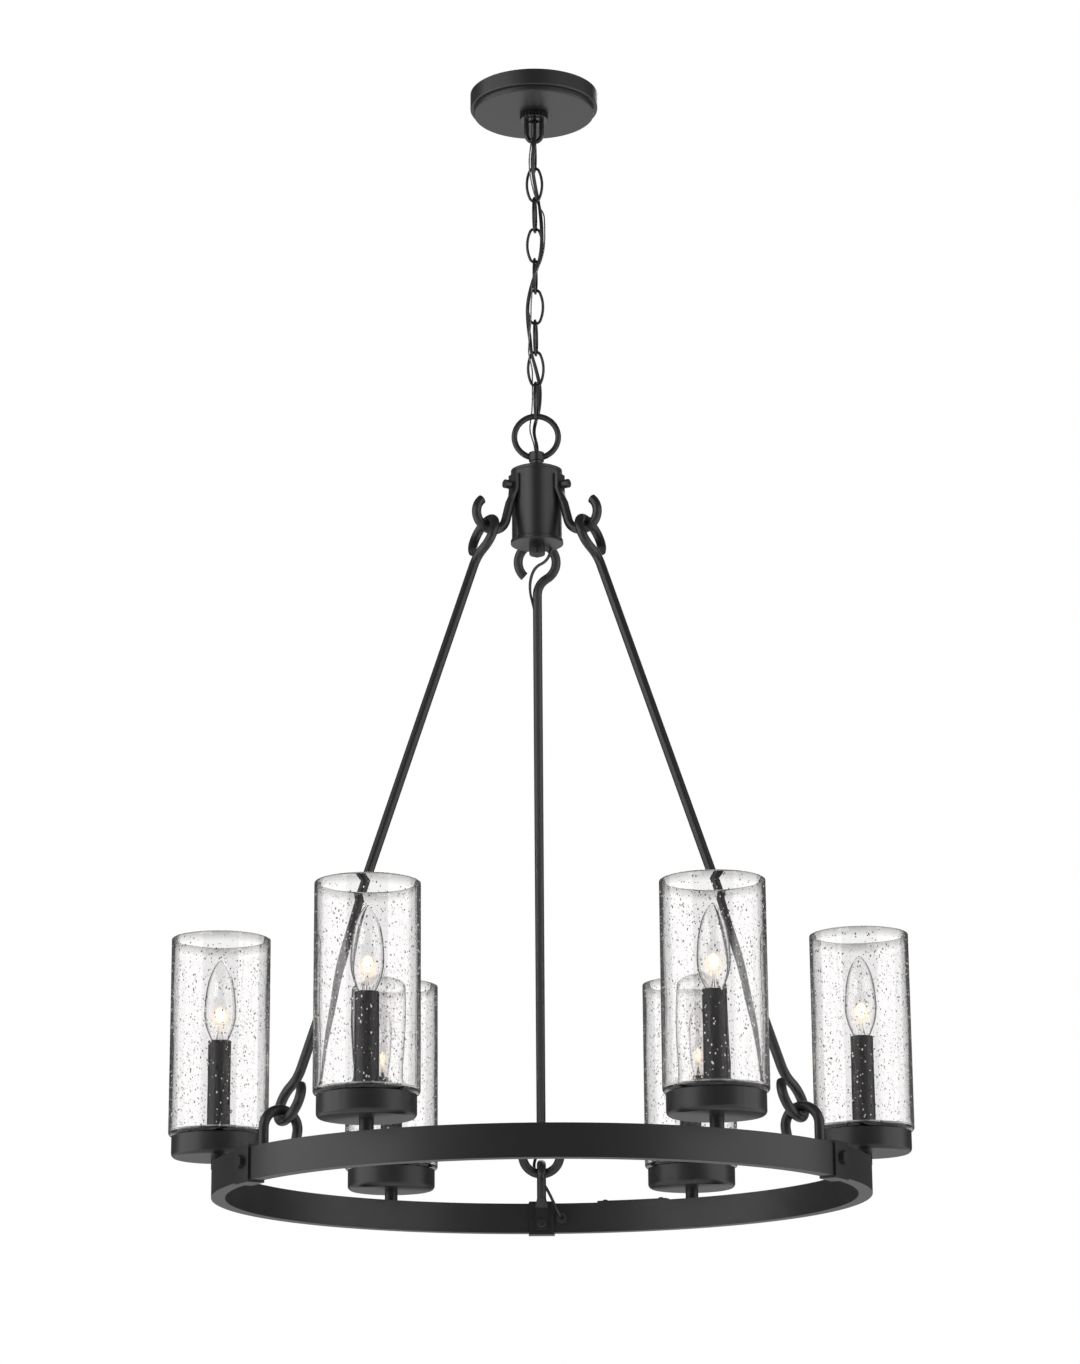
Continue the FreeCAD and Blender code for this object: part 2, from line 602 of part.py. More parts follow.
# Hub: ring with its boss, caps, tube, core pipe and finial
boss_heights = [
    (0, s.barrel_rise), (s.barrel_radius, s.barrel_rise), (s.barrel_radius, -s.barrel_fall),
    (s.barrel_neck_radius, -s.barrel_fall),
    (s.barrel_neck_radius, -s.barrel_fall - s.barrel_neck_height),
    (s.barrel_foot_radius, -s.barrel_fall - s.barrel_neck_height - s.barrel_foot_slope),
    (s.barrel_foot_radius, Z_CAP_TOP + s.seat_gap - Z_BARREL), (0, Z_CAP_TOP + s.seat_gap - Z_BARREL),
]
boss_outline = Part.makePolygon([radial(r, Z_BARREL + z) for r, z in boss_heights + boss_heights[:1]])
boss = Part.Face(boss_outline).revolve(FreeCAD.Vector(), UP, FULL_TURN)
hub_torus = Part.makeTorus(s.hub_ring_radius, s.hub_ring_wire, radial(0, Z_HUB_RING), TANGENT)
boss_passage = Part.makeCylinder(
    s.pipe_bore, s.barrel_rise + s.barrel_fall + s.barrel_neck_height + s.overrun,
    radial(0, Z_BARREL - s.barrel_fall - s.barrel_neck_height))
boss_thread = Part.makeCylinder(
    s.pipe_radius + s.thread_gap, s.barrel_thread_depth + s.overrun,
    radial(0, Z_CAP_TOP + s.seat_gap - s.overrun))
shaped("hub_ring", boss.fuse(hub_torus).cut(boss_passage).cut(boss_thread).removeSplitter())

HUB_FRAME = FreeCAD.Placement(radial(0, Z_CAP_RIM), FreeCAD.Rotation())
pipe_hole = "pipe_radius + thread_gap"
top_cap = turned("hub_top_cap", [
    (pipe_hole, "cap_rim + cap_slope + cap_dome"),
    ("barrel_foot_radius + seat_gap", "cap_rim + cap_slope + cap_dome"),
    ("cap_shoulder_radius", "cap_rim + cap_slope"),
    ("cap_radius", "cap_rim"),
    ("cap_radius", "0"),
    ("hub_radius + seat_gap", "0"),
    ("hub_radius + seat_gap", "cap_cover"),
    (pipe_hole, "cap_cover"),
], rims=(2, 3, 4), radius="cap_round / 2")
top_cap.Placement = HUB_FRAME

tube = Part.makeCylinder(s.hub_radius, s.hub_height, radial(0, Z_TUBE_FOOT)).cut(
    Part.makeCylinder(s.hub_radius - s.hub_wall, s.hub_height + 2 * s.overrun,
                      radial(0, Z_TUBE_FOOT - s.overrun)))
Z_KNOB = Z_CAP_RIM - s.knob_drop
for angle in ROD_ANGLES.values():
    knob_hole = Part.makeCylinder(
        s.knob_shank_radius + s.hole_clearance, s.hub_radius, radial(0, Z_KNOB), outward(angle))
    tube = tube.cut(knob_hole)
shaped("hub_body", tube)

foot_top = "cap_cover - seat_gap - hub_height"
foot_cap_blank = turned("foot_cap_blank", [
    (pipe_hole, foot_top + " - seat_gap"),
    ("hub_radius + seat_gap", foot_top + " - seat_gap"),
    ("hub_radius + seat_gap", foot_top + " - seat_gap + foot_cap_rim - foot_cap_gauge"),
    ("foot_cap_radius", foot_top + " - seat_gap + foot_cap_rim - foot_cap_gauge"),
    ("foot_cap_radius", foot_top + " - seat_gap - foot_cap_gauge"),
    (pipe_hole, foot_top + " - seat_gap - foot_cap_gauge"),
], rims=(3, 4), radius="cap_round")
foot_cap_blank.Placement = HUB_FRAME
cord_exit = primitive("Cylinder", "cord_exit",
                      {"Radius": "cord_exit_radius", "Height": "foot_cap_gauge + 2 * overrun"},
                      FreeCAD.Vector(s.cord_exit_x, s.cord_exit_y, Z_FOOT_CAP - s.overrun))
cut("hub_bottom_cap", foot_cap_blank, [cord_exit])

Z_PIPE_TOP = Z_CAP_TOP + s.barrel_thread_depth - s.seat_gap
Z_FINIAL = Z_FOOT_CAP - s.seat_gap - s.finial_height
Z_PIPE_FOOT = Z_FINIAL + s.finial_floor + s.seat_gap
core = Part.makeCylinder(s.pipe_radius, Z_PIPE_TOP - Z_PIPE_FOOT, radial(0, Z_PIPE_FOOT)).cut(
    Part.makeCylinder(s.pipe_bore, Z_PIPE_TOP - Z_PIPE_FOOT + 2 * s.overrun,
                      radial(0, Z_PIPE_FOOT - s.overrun)))
slot = Part.makeBox(2 * s.pipe_radius, s.pipe_slot_width, s.pipe_slot_height)
slot.translate(FreeCAD.Vector(
    0, -s.pipe_slot_width / 2, Z_CAP_RIM - s.pipe_slot_drop - s.pipe_slot_height))
slot.rotate(FreeCAD.Vector(), UP, math.degrees(math.atan2(s.splice_y, s.splice_x)))
shaped("hub_core_pipe", core.cut(slot))

finial = turned("hub_finial", [
    ("0", "0"),
    ("finial_radius", "0"),
    ("finial_radius", "finial_height"),
    (pipe_hole, "finial_height"),
    (pipe_hole, "finial_floor"),
    ("0", "finial_floor"),
], rims=(1,), radius="finial_round")
finial.Placement = FreeCAD.Placement(radial(0, Z_FINIAL), FreeCAD.Rotation())

Z_SPLICE = Z_CAP_RIM - s.splice_drop
primitive("Cylinder", "cord_splice", {"Radius": "splice_radius", "Height": "splice_height"},
          FreeCAD.Vector(s.splice_x, s.splice_y, Z_SPLICE - s.splice_height))


# Hub hooks: a flat strap on the tube that turns into a round bar and curls up, with its fastener
def flat_to_round(strap_centre, strap_width, strap_gauge, bar_start, bar_direction):
    """A forged transition from a flat strap's end to a round bar."""
    half_gauge = strap_gauge / 2
    half_width = strap_width / 2
    corners = [(-half_gauge, -half_width), (half_gauge, -half_width),
               (half_gauge, half_width), (-half_gauge, half_width), (-half_gauge, -half_width)]
    flat = Part.makePolygon([strap_centre + FreeCAD.Vector(x, y, 0) for x, y in corners])
    round_end = Part.Wire(Part.makeCircle(s.bar_radius, bar_start, bar_direction))
    return Part.makeLoft([flat, round_end], True)


def radial_hole(radius, reach, height):
    """A hole along the radial plane's X axis, out to a reach."""
    return Part.makeCylinder(radius, reach, radial(0, height), ACROSS)


strap_inside = s.hub_radius + s.strap_gap
strap_top = Z_CAP_RIM - s.strap_drop
strap_foot = strap_top - s.strap_height
start_turn = math.radians(s.hub_hook_start_angle)
bend_start = HUB_BEND + radial(math.cos(start_turn), math.sin(start_turn)) * s.hub_hook_radius
run_direction = radial(-math.sin(start_turn), math.cos(start_turn))
run_start = bend_start - run_direction * s.hub_hook_run
hook_bar = bar_along([
    line(run_start, bend_start),
    arc(HUB_BEND, ACROSS, UP, s.hub_hook_radius, s.hub_hook_start_angle, s.hub_hook_end_angle),
], s.bar_radius)
hook_strap = Part.makeBox(s.strap_gauge, s.strap_width, s.strap_height)
hook_strap.translate(FreeCAD.Vector(strap_inside, -s.strap_width / 2, strap_foot))
hook_joint = flat_to_round(radial(strap_inside + s.strap_gauge / 2, strap_foot),
                           s.strap_width, s.strap_gauge, run_start, run_direction)
hub_hook = hook_strap.fuse([hook_joint, hook_bar]).cut(
    radial_hole(s.knob_shank_radius + s.hole_clearance, HUB_BEND.x, Z_KNOB)).removeSplitter()
for name, angle in ROD_ANGLES.items():
    shaped("hub_hook_" + name, hub_hook, angle)

knob = turned("knob", [
    ("0", "-hub_wall - strap_gap - strap_gauge - knob_shank_inside"),
    ("knob_shank_radius", "-hub_wall - strap_gap - strap_gauge - knob_shank_inside"),
    ("knob_shank_radius", "0"),
    ("knob_neck_radius", "0"),
    ("knob_neck_radius", "knob_neck_length"),
    ("knob_radius", "knob_neck_length"),
    ("knob_radius", "knob_neck_length + knob_length"),
    ("0", "knob_neck_length + knob_length"),
], rims=(5, 6), radius="knob_round")
knob.Placement = FreeCAD.Placement(
    radial(strap_inside + s.strap_gauge + s.seat_gap, Z_KNOB), FreeCAD.Rotation(UP, ACROSS))
doc.recompute()
shaped("hook_knobs", copies(knob.Shape, ROD_ANGLES.values()))

# Rods: a straight bar between the bends of the hooks, with an open eye at each end
down_rod = (FRAME_BEND - HUB_BEND).normalize()
bar_pair = 2 * s.bar_radius + s.hang_gap
upper_eye = HUB_BEND + down_rod * (s.hub_hook_radius - bar_pair + s.eye_radius)
lower_eye = FRAME_BEND - down_rod * (s.frame_hook_radius - bar_pair + s.eye_radius)
eye_foot = math.sqrt(s.eye_radius ** 2 + 2 * s.eye_radius * s.eye_bend_radius)
eye_start_angle = -math.degrees(math.atan2(eye_foot, s.eye_bend_radius))


def rod_end(eye, up, side):
    """The reverse bend and the eye at one end of a rod, listed from the shank to the open end."""
    across = TANGENT * side
    foot = eye - up * eye_foot
    bend = arc(foot + across * s.eye_bend_radius, across, up, s.eye_bend_radius,
               180, 180 + eye_start_angle)
    curl = arc(eye, across, up, s.eye_radius, eye_start_angle, s.eye_end_angle)
    return foot, bend, curl


def rod_shape(side):
    up_foot, up_bend, up_curl = rod_end(upper_eye, down_rod * -1, side)
    low_foot, low_bend, low_curl = rod_end(lower_eye, down_rod, -side)
    shank = line(low_foot, up_foot)
    upper = bar_along([shank, up_bend, up_curl], s.bar_radius)
    lower = bar_along([low_bend, low_curl], s.bar_radius)
    return upper.fuse(lower).removeSplitter()


for name, side in (("left", 1), ("right", -1), ("back", -1)):
    shaped("rod_" + name, rod_shape(side), ROD_ANGLES[name])

# Ring of rectangular tube, with holes for the stems, rivets, bolts and the grommet
ring_outer = primitive("Cylinder", "ring_outer", {"Radius": "ring_radius", "Height": "ring_height"},
                       radial(0, Z_RING))
ring_hollows = [
    primitive("Cylinder", "ring_inner",
              {"Radius": "ring_radius - ring_depth", "Height": "ring_height + 2 * overrun"},
              radial(0, Z_RING - s.overrun)),
]
ring_blank = cut("ring_blank", ring_outer, ring_hollows)
cavity_outer = primitive("Cylinder", "cavity_outer",
                         {"Radius": "ring_radius - ring_wall", "Height": "ring_height - 2 * ring_wall"},
                         radial(0, Z_RING + s.ring_wall))
cavity_inner = primitive("Cylinder", "cavity_inner",
                         {"Radius": "ring_radius - ring_depth + ring_wall",
                          "Height": "ring_height"},
                         radial(0, Z_RING))
ring_cuts = [cut("ring_cavity", cavity_outer, [cavity_inner])]
LAMP_ANGLES = [FULL_TURN * number / s.lamp_count for number in range(int(s.lamp_count))]
for number, angle in enumerate(LAMP_ANGLES, start=1):
    ring_cuts.append(primitive(
        "Cylinder", "stem_hole_%d" % number,
        {"Radius": "stem_thread_radius + thread_gap", "Height": "ring_wall + 2 * overrun"},
        polar(LAMP_CIRCLE, angle, Z_RING_TOP - s.ring_wall - s.overrun)))
for name, angle in ROD_ANGLES.items():
    ring_cuts.append(primitive(
        "Cylinder", "rivet_hole_" + name,
        {"Radius": "rivet_radius + hole_clearance", "Height": "ring_wall + 2 * overrun"},
        polar(RING_INSIDE - s.overrun, angle, Z_RING + s.rivet_height), outward(angle)))
    ring_cuts.append(primitive(
        "Cylinder", "bolt_hole_" + name,
        {"Radius": "bolt_radius + hole_clearance", "Height": "ring_wall + 2 * overrun"},
        polar(s.ring_radius - s.ring_wall - s.overrun, angle, Z_RING + s.bolt_height),
        outward(angle)))
ring_cuts.append(primitive(
    "Cylinder", "grommet_hole",
    {"Radius": "grommet_groove + seat_gap", "Height": "ring_wall + 2 * overrun"},
    polar(RING_INSIDE - s.overrun, GROMMET_ANGLE, Z_RING + s.grommet_height),
    outward(GROMMET_ANGLE)))
cut("ring", ring_blank, ring_cuts)


def curved_block(inner, outer, low, high, sweep):
    """A block between two radii and two heights, centred on the XZ plane and bent round the axis."""
    face = Part.Face(Part.makePolygon([
        radial(inner, low), radial(outer, low), radial(outer, high), radial(inner, high),
        radial(inner, low)]))
    face.rotate(FreeCAD.Vector(), UP, -sweep / 2)
    return face.revolve(FreeCAD.Vector(), UP, sweep)


# Clamps wrapped round the tube, ring hooks with their rivets, and hex bolts
clamp_sweep = math.degrees(s.clamp_width / RING_MIDDLE)
clamp_outside = s.ring_radius + s.clamp_gap + s.clamp_gauge
clamp_low = Z_RING - s.clamp_gap - s.clamp_gauge
clamp_high = Z_RING_TOP + s.clamp_gap + s.clamp_gauge
clamp = curved_block(CLAMP_INSIDE, clamp_outside, clamp_low, clamp_high, clamp_sweep).cut(
    curved_block(CLAMP_INSIDE + s.clamp_gauge, clamp_outside - s.clamp_gauge,
                 clamp_low + s.clamp_gauge, clamp_high - s.clamp_gauge, 2 * clamp_sweep))
rivet_passage = Part.makeCylinder(s.rivet_radius + s.hole_clearance, s.ring_depth,
                                  radial(CLAMP_INSIDE - s.ring_depth / 2, Z_RING + s.rivet_height),
                                  ACROSS)
bolt_passage = Part.makeCylinder(s.bolt_radius + s.hole_clearance, s.ring_depth,
                                 radial(s.ring_radius - s.ring_depth / 2, Z_RING + s.bolt_height),
                                 ACROSS)
clamp = clamp.cut(rivet_passage).cut(bolt_passage)
shaped("ring_clamps", copies(clamp, ROD_ANGLES.values()))

strap_sagitta = CLAMP_INSIDE - math.sqrt(CLAMP_INSIDE ** 2 - (s.frame_strap_width / 2) ** 2)
frame_strap_outside = CLAMP_INSIDE - strap_sagitta - s.seat_gap
frame_strap_inside = frame_strap_outside - s.frame_strap_gauge
frame_strap = Part.makeBox(s.frame_strap_gauge, s.frame_strap_width,
                           s.frame_strap_high - s.frame_strap_low)
frame_strap.translate(FreeCAD.Vector(
    frame_strap_inside, -s.frame_strap_width / 2, Z_RING + s.frame_strap_low))
leg_start = radial(FRAME_LEG, Z_RING + s.frame_hook_shoulder)
leg_end = FRAME_BEND + ACROSS * s.frame_hook_radius
end_turn = math.radians(s.frame_hook_end_angle)
free_leg = FRAME_BEND + radial(math.cos(end_turn), math.sin(end_turn)) * s.frame_hook_radius
free_direction = radial(-math.sin(end_turn), math.cos(end_turn))
frame_bar = bar_along([
    line(leg_start, leg_end),
    arc(FRAME_BEND, ACROSS, UP, s.frame_hook_radius, 0, s.frame_hook_end_angle),
    line(free_leg, free_leg + free_direction * s.frame_hook_tail),
], s.bar_radius)
frame_joint = flat_to_round(
    radial((frame_strap_inside + frame_strap_outside) / 2, Z_RING + s.frame_strap_high),
    s.frame_strap_width, s.frame_strap_gauge, leg_start, UP)
ring_hook = frame_strap.fuse([frame_joint, frame_bar]).cut(rivet_passage).removeSplitter()
for name, angle in ROD_ANGLES.items():
    shaped("ring_hook_" + name, ring_hook, angle)

rivet_span = "frame_strap_gauge + clamp_gauge + clamp_gap + ring_wall + rivet_tail"
rivet = turned("rivet", [
    ("0", "0"),
    ("rivet_head_radius", "0"),
    ("rivet_head_radius", "rivet_head"),
    ("rivet_radius", "rivet_head"),
    ("rivet_radius", "rivet_head + " + rivet_span),
    ("0", "rivet_head + " + rivet_span),
], rims=(1,), radius="rivet_round")
rivet.Placement = FreeCAD.Placement(
    radial(frame_strap_inside - s.seat_gap - s.rivet_head, Z_RING + s.rivet_height),
    FreeCAD.Rotation(UP, ACROSS))
doc.recompute()
shaped("hook_rivets", copies(rivet.Shape, ROD_ANGLES.values()))

bolt_seat = radial(clamp_outside + s.seat_gap, Z_RING + s.bolt_height)
bolt_head = primitive("Prism", "bolt_head_blank",
                      {"Circumradius": "bolt_corner_radius", "Height": "bolt_head"},
                      bolt_seat, ACROSS)
bolt_head.Polygon = 6
bolt_shank = primitive("Cylinder", "bolt_shank_blank",
                       {"Radius": "bolt_radius", "Height": "bolt_shank + bolt_head / 2"},
                       bolt_seat - ACROSS * s.bolt_shank, ACROSS)
doc.recompute()
shaped("hex_bolts", copies(bolt_head.Shape.fuse(bolt_shank.Shape), ROD_ANGLES.values()))

# Access cover on top of the ring with its screws, and the grommet in the ring's inner wall
cover_low = Z_RING_TOP + s.seat_gap
shaped("access_cover", curved_block(
    RING_MIDDLE - s.cover_width / 2, RING_MIDDLE + s.cover_width / 2,
    cover_low, cover_low + s.cover_gauge, s.cover_angle), s.cover_place)
cover_screw = turned("cover_screw", [
    ("0", "0"),
    ("cover_screw_radius", "0"),
    ("cover_screw_radius", "cover_screw_head"),
    ("0", "cover_screw_head"),
], rims=(2,), radius="cover_screw_head / 2")
cover_screw.Placement = FreeCAD.Placement(
    radial(0, cover_low + s.cover_gauge + s.seat_gap), FreeCAD.Rotation())
doc.recompute()
shaped("cover_screws", copies(
    cover_screw.Shape,
    [s.cover_place - s.cover_screw_angle, s.cover_place + s.cover_screw_angle], RING_MIDDLE))

grommet = turned("grommet", [
    ("frame_cord_radius + cord_gap", "-grommet_flange"),
    ("grommet_radius", "-grommet_flange"),
    ("grommet_radius", "-seat_gap"),
    ("grommet_groove", "-seat_gap"),
    ("grommet_groove", "ring_wall + 3 * seat_gap"),
    ("grommet_radius - seat_gap", "ring_wall + 3 * seat_gap"),
    ("grommet_radius - seat_gap", "ring_wall + grommet_flange"),
    ("frame_cord_radius + cord_gap", "ring_wall + grommet_flange"),
], rims=(1, 6), radius="grommet_round")
grommet_seat = math.sqrt(RING_INSIDE ** 2 - s.grommet_radius ** 2)
grommet.Placement = FreeCAD.Placement(
    polar(grommet_seat, GROMMET_ANGLE, Z_RING + s.grommet_height),
    FreeCAD.Rotation(UP, outward(GROMMET_ANGLE)))

# Wires inside the ring: a loop round the tube, leads up into each stem and a stub at the grommet
wiring_height = Z_RING + s.grommet_height
wiring = Part.makeTorus(LAMP_CIRCLE, s.wiring_radius, radial(0, wiring_height))
for angle in LAMP_ANGLES:
    wiring = wiring.fuse(Part.makeCylinder(
        s.lead_radius, Z_RING_TOP + s.stem_height - wiring_height,
        polar(LAMP_CIRCLE, angle, wiring_height)))
stub_reach = grommet_seat + s.ring_wall + s.grommet_flange + s.seat_gap
stub = Part.makeCylinder(s.frame_cord_radius, LAMP_CIRCLE - stub_reach,
                         polar(stub_reach, GROMMET_ANGLE, wiring_height),
                         outward(GROMMET_ANGLE))
shaped("frame_wiring", wiring.fuse(stub))

# Lamps: stem, fitter cup, glass cylinder, lock ring, candle sleeve, socket and bulb
Z_CUP = Z_RING_TOP + s.stem_height + 2 * s.seat_gap
Z_GLASS = Z_CUP + s.cup_height + s.seat_gap


def lamp_part(label, height, corners, rims=(), radius=None):
    """A turned lamp part on the object's axis, with its own zero at a height."""
    body = turned(label, corners, rims, radius)
    body.Placement = FreeCAD.Placement(radial(0, height), FreeCAD.Rotation())
    return body


stem = lamp_part("stem", Z_RING_TOP + s.seat_gap, [
    ("stem_bore", "-stem_thread_low"),
    ("stem_thread_radius", "-stem_thread_low"),
    ("stem_thread_radius", "0"),
    ("stem_radius", "0"),
    ("stem_radius", "stem_height"),
    ("stem_thread_radius", "stem_height"),
    ("stem_thread_radius", "stem_height + stem_thread_high"),
    ("stem_bore", "stem_height + stem_thread_high"),
])
cup = lamp_part("cup", Z_CUP, [
    ("stem_thread_radius + thread_gap", "0"),
    ("cup_radius", "0"),
    ("cup_radius", "cup_height"),
    ("cup_radius - cup_gauge", "cup_height"),
    ("cup_radius - cup_gauge", "cup_gauge"),
    ("stem_thread_radius + thread_gap", "cup_gauge"),
], rims=(1,), radius="cup_round")
lock_ring = lamp_part("lock_ring", Z_GLASS + s.glass_floor + s.seat_gap, [
    ("sleeve_radius + seat_gap", "0"),
    ("lock_ring_radius", "0"),
    ("lock_ring_radius", "lock_ring_height"),
    ("sleeve_radius + seat_gap", "lock_ring_height"),
])
SLEEVE_FOOT = Z_CUP + s.cup_gauge + s.seat_gap
sleeve = lamp_part("sleeve", SLEEVE_FOOT, [
    ("sleeve_radius - sleeve_wall", "0"),
    ("sleeve_radius", "0"),
    ("sleeve_radius", "sleeve_height"),
    ("sleeve_radius - sleeve_wall", "sleeve_height"),
])
SOCKET_FOOT = Z_RING_TOP + 2 * s.seat_gap + s.stem_height + s.stem_thread_high
SOCKET_TOP = SLEEVE_FOOT + s.sleeve_height - s.socket_below_sleeve
socket_top = ("cup_gauge + sleeve_height - socket_below_sleeve - stem_thread_high"
              " + 2 * seat_gap")
socket = lamp_part("socket", SOCKET_FOOT, [
    ("0", "0"),
    ("socket_foot_radius", "0"),
    ("socket_foot_radius", "socket_foot_height"),
    ("socket_post_radius", "socket_foot_height"),
    ("socket_post_radius", socket_top + " - socket_height"),
    ("socket_radius", socket_top + " - socket_height"),
    ("socket_radius", socket_top),
    ("bulb_base_radius + bulb_running_gap", socket_top),
    ("bulb_base_radius + bulb_running_gap", socket_top + " - socket_bore_depth"),
    ("0", socket_top + " - socket_bore_depth"),
])
doc.recompute()
for label, master in (("lamp_stems", stem), ("fitter_cups", cup), ("lock_rings", lock_ring),
                      ("candle_sleeves", sleeve), ("lamp_sockets", socket)):
    shaped(label, copies(master.Shape, LAMP_ANGLES, LAMP_CIRCLE))

glass_corners = [
    ("glass_hole", "0"),
    ("glass_radius", "0"),
    ("glass_radius", "glass_height"),
    ("glass_radius - glass_wall", "glass_height"),
    ("glass_radius - glass_wall", "glass_floor"),
    ("glass_hole", "glass_floor"),
]
for number, angle in enumerate(LAMP_ANGLES, start=1):
    glass = new_body("glass_%d" % number)
    cylinder = revolve(glass, "glass_turned_%d" % number, glass_corners)
    foot = round_rims(glass, cylinder, (1,), "glass_round")
    foot.Label = "glass_foot_%d" % number
    glass.Placement = FreeCAD.Placement(
        polar(LAMP_CIRCLE, angle, Z_GLASS), FreeCAD.Rotation(angle, 0, 0))


def bulb_envelope():
    """The bulb's glass, open where the base closes it: a neck, a belly and a drawn-out tip."""
    shoulder_height = (s.bulb_belly_height + s.bulb_height) / 2
    shoulder_radius = (s.bulb_radius + s.bulb_tip_radius) / 2
    profiles = []
    for inset in (0, s.bulb_wall):
        profile = Part.BSplineCurve()
        profile.interpolate([
            radial(s.bulb_neck_radius - inset, 0),
            radial(s.bulb_radius - inset, s.bulb_belly_height),
            radial(shoulder_radius - inset, shoulder_height),
            radial(0, s.bulb_height - inset),
        ], InitialTangent=UP, FinalTangent=-ACROSS)
        profiles.append(profile)
    outer, inner = profiles
    foot = line(inner.StartPoint, outer.StartPoint)
    tip = line(outer.EndPoint, inner.EndPoint)
    face = Part.Face(Part.Wire([foot, outer.toShape(), tip, inner.toShape()]))
    return face.revolve(FreeCAD.Vector(), UP, FULL_TURN)


base = turned("bulb_base", [
    ("0", "-bulb_base_height"),
    ("bulb_base_radius", "-bulb_base_height"),
    ("bulb_base_radius", "-2 * bulb_base_round"),
    ("bulb_neck_radius", "-seat_gap"),
    ("0", "-seat_gap"),
], rims=(1,), radius="bulb_base_round")
doc.recompute()
bulb = Part.makeCompound([bulb_envelope(), base.Shape])
Z_BULB = SOCKET_TOP + 2 * s.bulb_base_round
for number, angle in enumerate(LAMP_ANGLES, start=1):
    placed = shaped("bulb_%d" % number, bulb)
    placed.Placement = FreeCAD.Placement(
        polar(LAMP_CIRCLE, angle, Z_BULB), FreeCAD.Rotation(angle, 0, 0))

# Routes of the cord and the ground wire from the ceiling, in and out of the links, to the splice
SUPPLY_CORD_ROUTE = [
    (0.9, 0, 0), (0.9, 0, -34), (0.6, -13.8, -60), (-3, -12.6, -84), (0.3, 0, -105.7),
    (5, 9, -125), (7.2, -3.6, -150), (7.8, -4.7, -177), (4.9, -5, -197), (-1.2, 0.2, -213),
    (-5, -5.2, -229), (-8.6, -4.6, -247), (-8.4, -4.6, -266), (-6, -3.4, -286),
    (-4.6, -5, -303), (0.6, 1, -320), (5, 9, -338), (3.4, 14, -362), (-3.6, 10.5, -385),
    (0.7, -0.5, -405), (0.6, -0.6, -420), (0.65, -0.55, -434), (0.6, -0.6, -447),
    (8.2, 7, -458.5), (13.4, 12.4, -468.5), (13.4, 12.4, -478.45),
]
GROUND_WIRE_ROUTE = [
    (-2.4, 0, 0), (-2.4, 0, -34), (-2.8, -14.6, -60), (-6.4, -13.2, -84), (-3.3, -0.2, -105.7),
    (4, 13, -125), (10.4, 4.6, -138), (10.8, -3.6, -153), (10.8, -5.6, -178), (7.4, -7.4, -197),
    (-0.8, -3.8, -212), (-4.3, -6.7, -222.5), (-3.4, -8, -235), (-4.6, -7, -247),
    (-4.8, -7, -266), (-6.8, -7.4, -286), (-8, -5, -304), (-3.4, 0.8, -319), (-3.8, 5, -332),
    (-3.6, 7.6, -346), (-4.6, 9.4, -366), (-7.4, 7.4, -384), (-5, 4.6, -395),
    (-1.75, 1.65, -406), (-1.65, 1.65, -420), (-1.65, 1.7, -434), (-1.6, 1.75, -447),
    (4.2, 9.4, -459), (10.5, 15.3, -468.5), (10.5, 15.3, -478.45),
]
supply_cord = cord_tube("supply_cord", SUPPLY_CORD_ROUTE, s.cord_radius)
shaped("supply_cord", supply_cord)
shaped("ground_wire", cord_tube("ground_wire", GROUND_WIRE_ROUTE, s.ground_radius))

# Route of the cord from the splice, out of the hub, along the back rod and into the ring
ROD_SIDE = FreeCAD.Vector(-down_rod.z, 0, down_rod.x)


def behind_axis(across, reach, height):
    """A point behind the axis, in the half where the back rod hangs."""
    return FreeCAD.Vector(across, reach, height)


def beside_rod(bend, along, across, out):
    """A point beside the back rod, counted from the bend that it hangs in."""
    spot = bend + down_rod * along + ROD_SIDE * out
    return behind_axis(across, spot.x, spot.z)


FRAME_CORD_ROUTE = [
    FreeCAD.Vector(s.splice_x, s.splice_y, Z_SPLICE - s.splice_height - 2 * s.seat_gap),
    behind_axis(12.7, 13.4, Z_TUBE_FOOT + 14),
    FreeCAD.Vector(s.cord_exit_x, s.cord_exit_y, Z_TUBE_FOOT + 5.5),
    FreeCAD.Vector(s.cord_exit_x, s.cord_exit_y, Z_FOOT_CAP - 3.8),
    behind_axis(9.4, 24.4, Z_FOOT_CAP - 11.6),
    behind_axis(-1.8, 39.6, Z_FOOT_CAP - 12.5),
    beside_rod(HUB_BEND, 43.8, -7.3, -14),
    beside_rod(HUB_BEND, 59.6, -8.4, -1.5),
    beside_rod(HUB_BEND, 74.2, -4.5, 7.1),
    beside_rod(HUB_BEND, 96, 0, 8.2),
    beside_rod(FRAME_BEND, -36.3, 0, 9.1),
    behind_axis(-9.6, RING_INSIDE - 21, Z_RING + 72.5),
    behind_axis(-4.5, RING_INSIDE - 18.5, Z_RING + 61),
    behind_axis(6, RING_INSIDE - 17, Z_RING + 46.5),
    behind_axis(16.2, RING_INSIDE - 16, Z_RING + 24.5),
    polar(RING_INSIDE - 8.1, GROMMET_ANGLE, wiring_height),
    polar(grommet_seat + s.ring_wall + s.grommet_flange - 2 * s.seat_gap, GROMMET_ANGLE, wiring_height),
]
shaped("frame_cord", cord_tube("frame_cord", FRAME_CORD_ROUTE, s.frame_cord_radius))

doc.recompute()

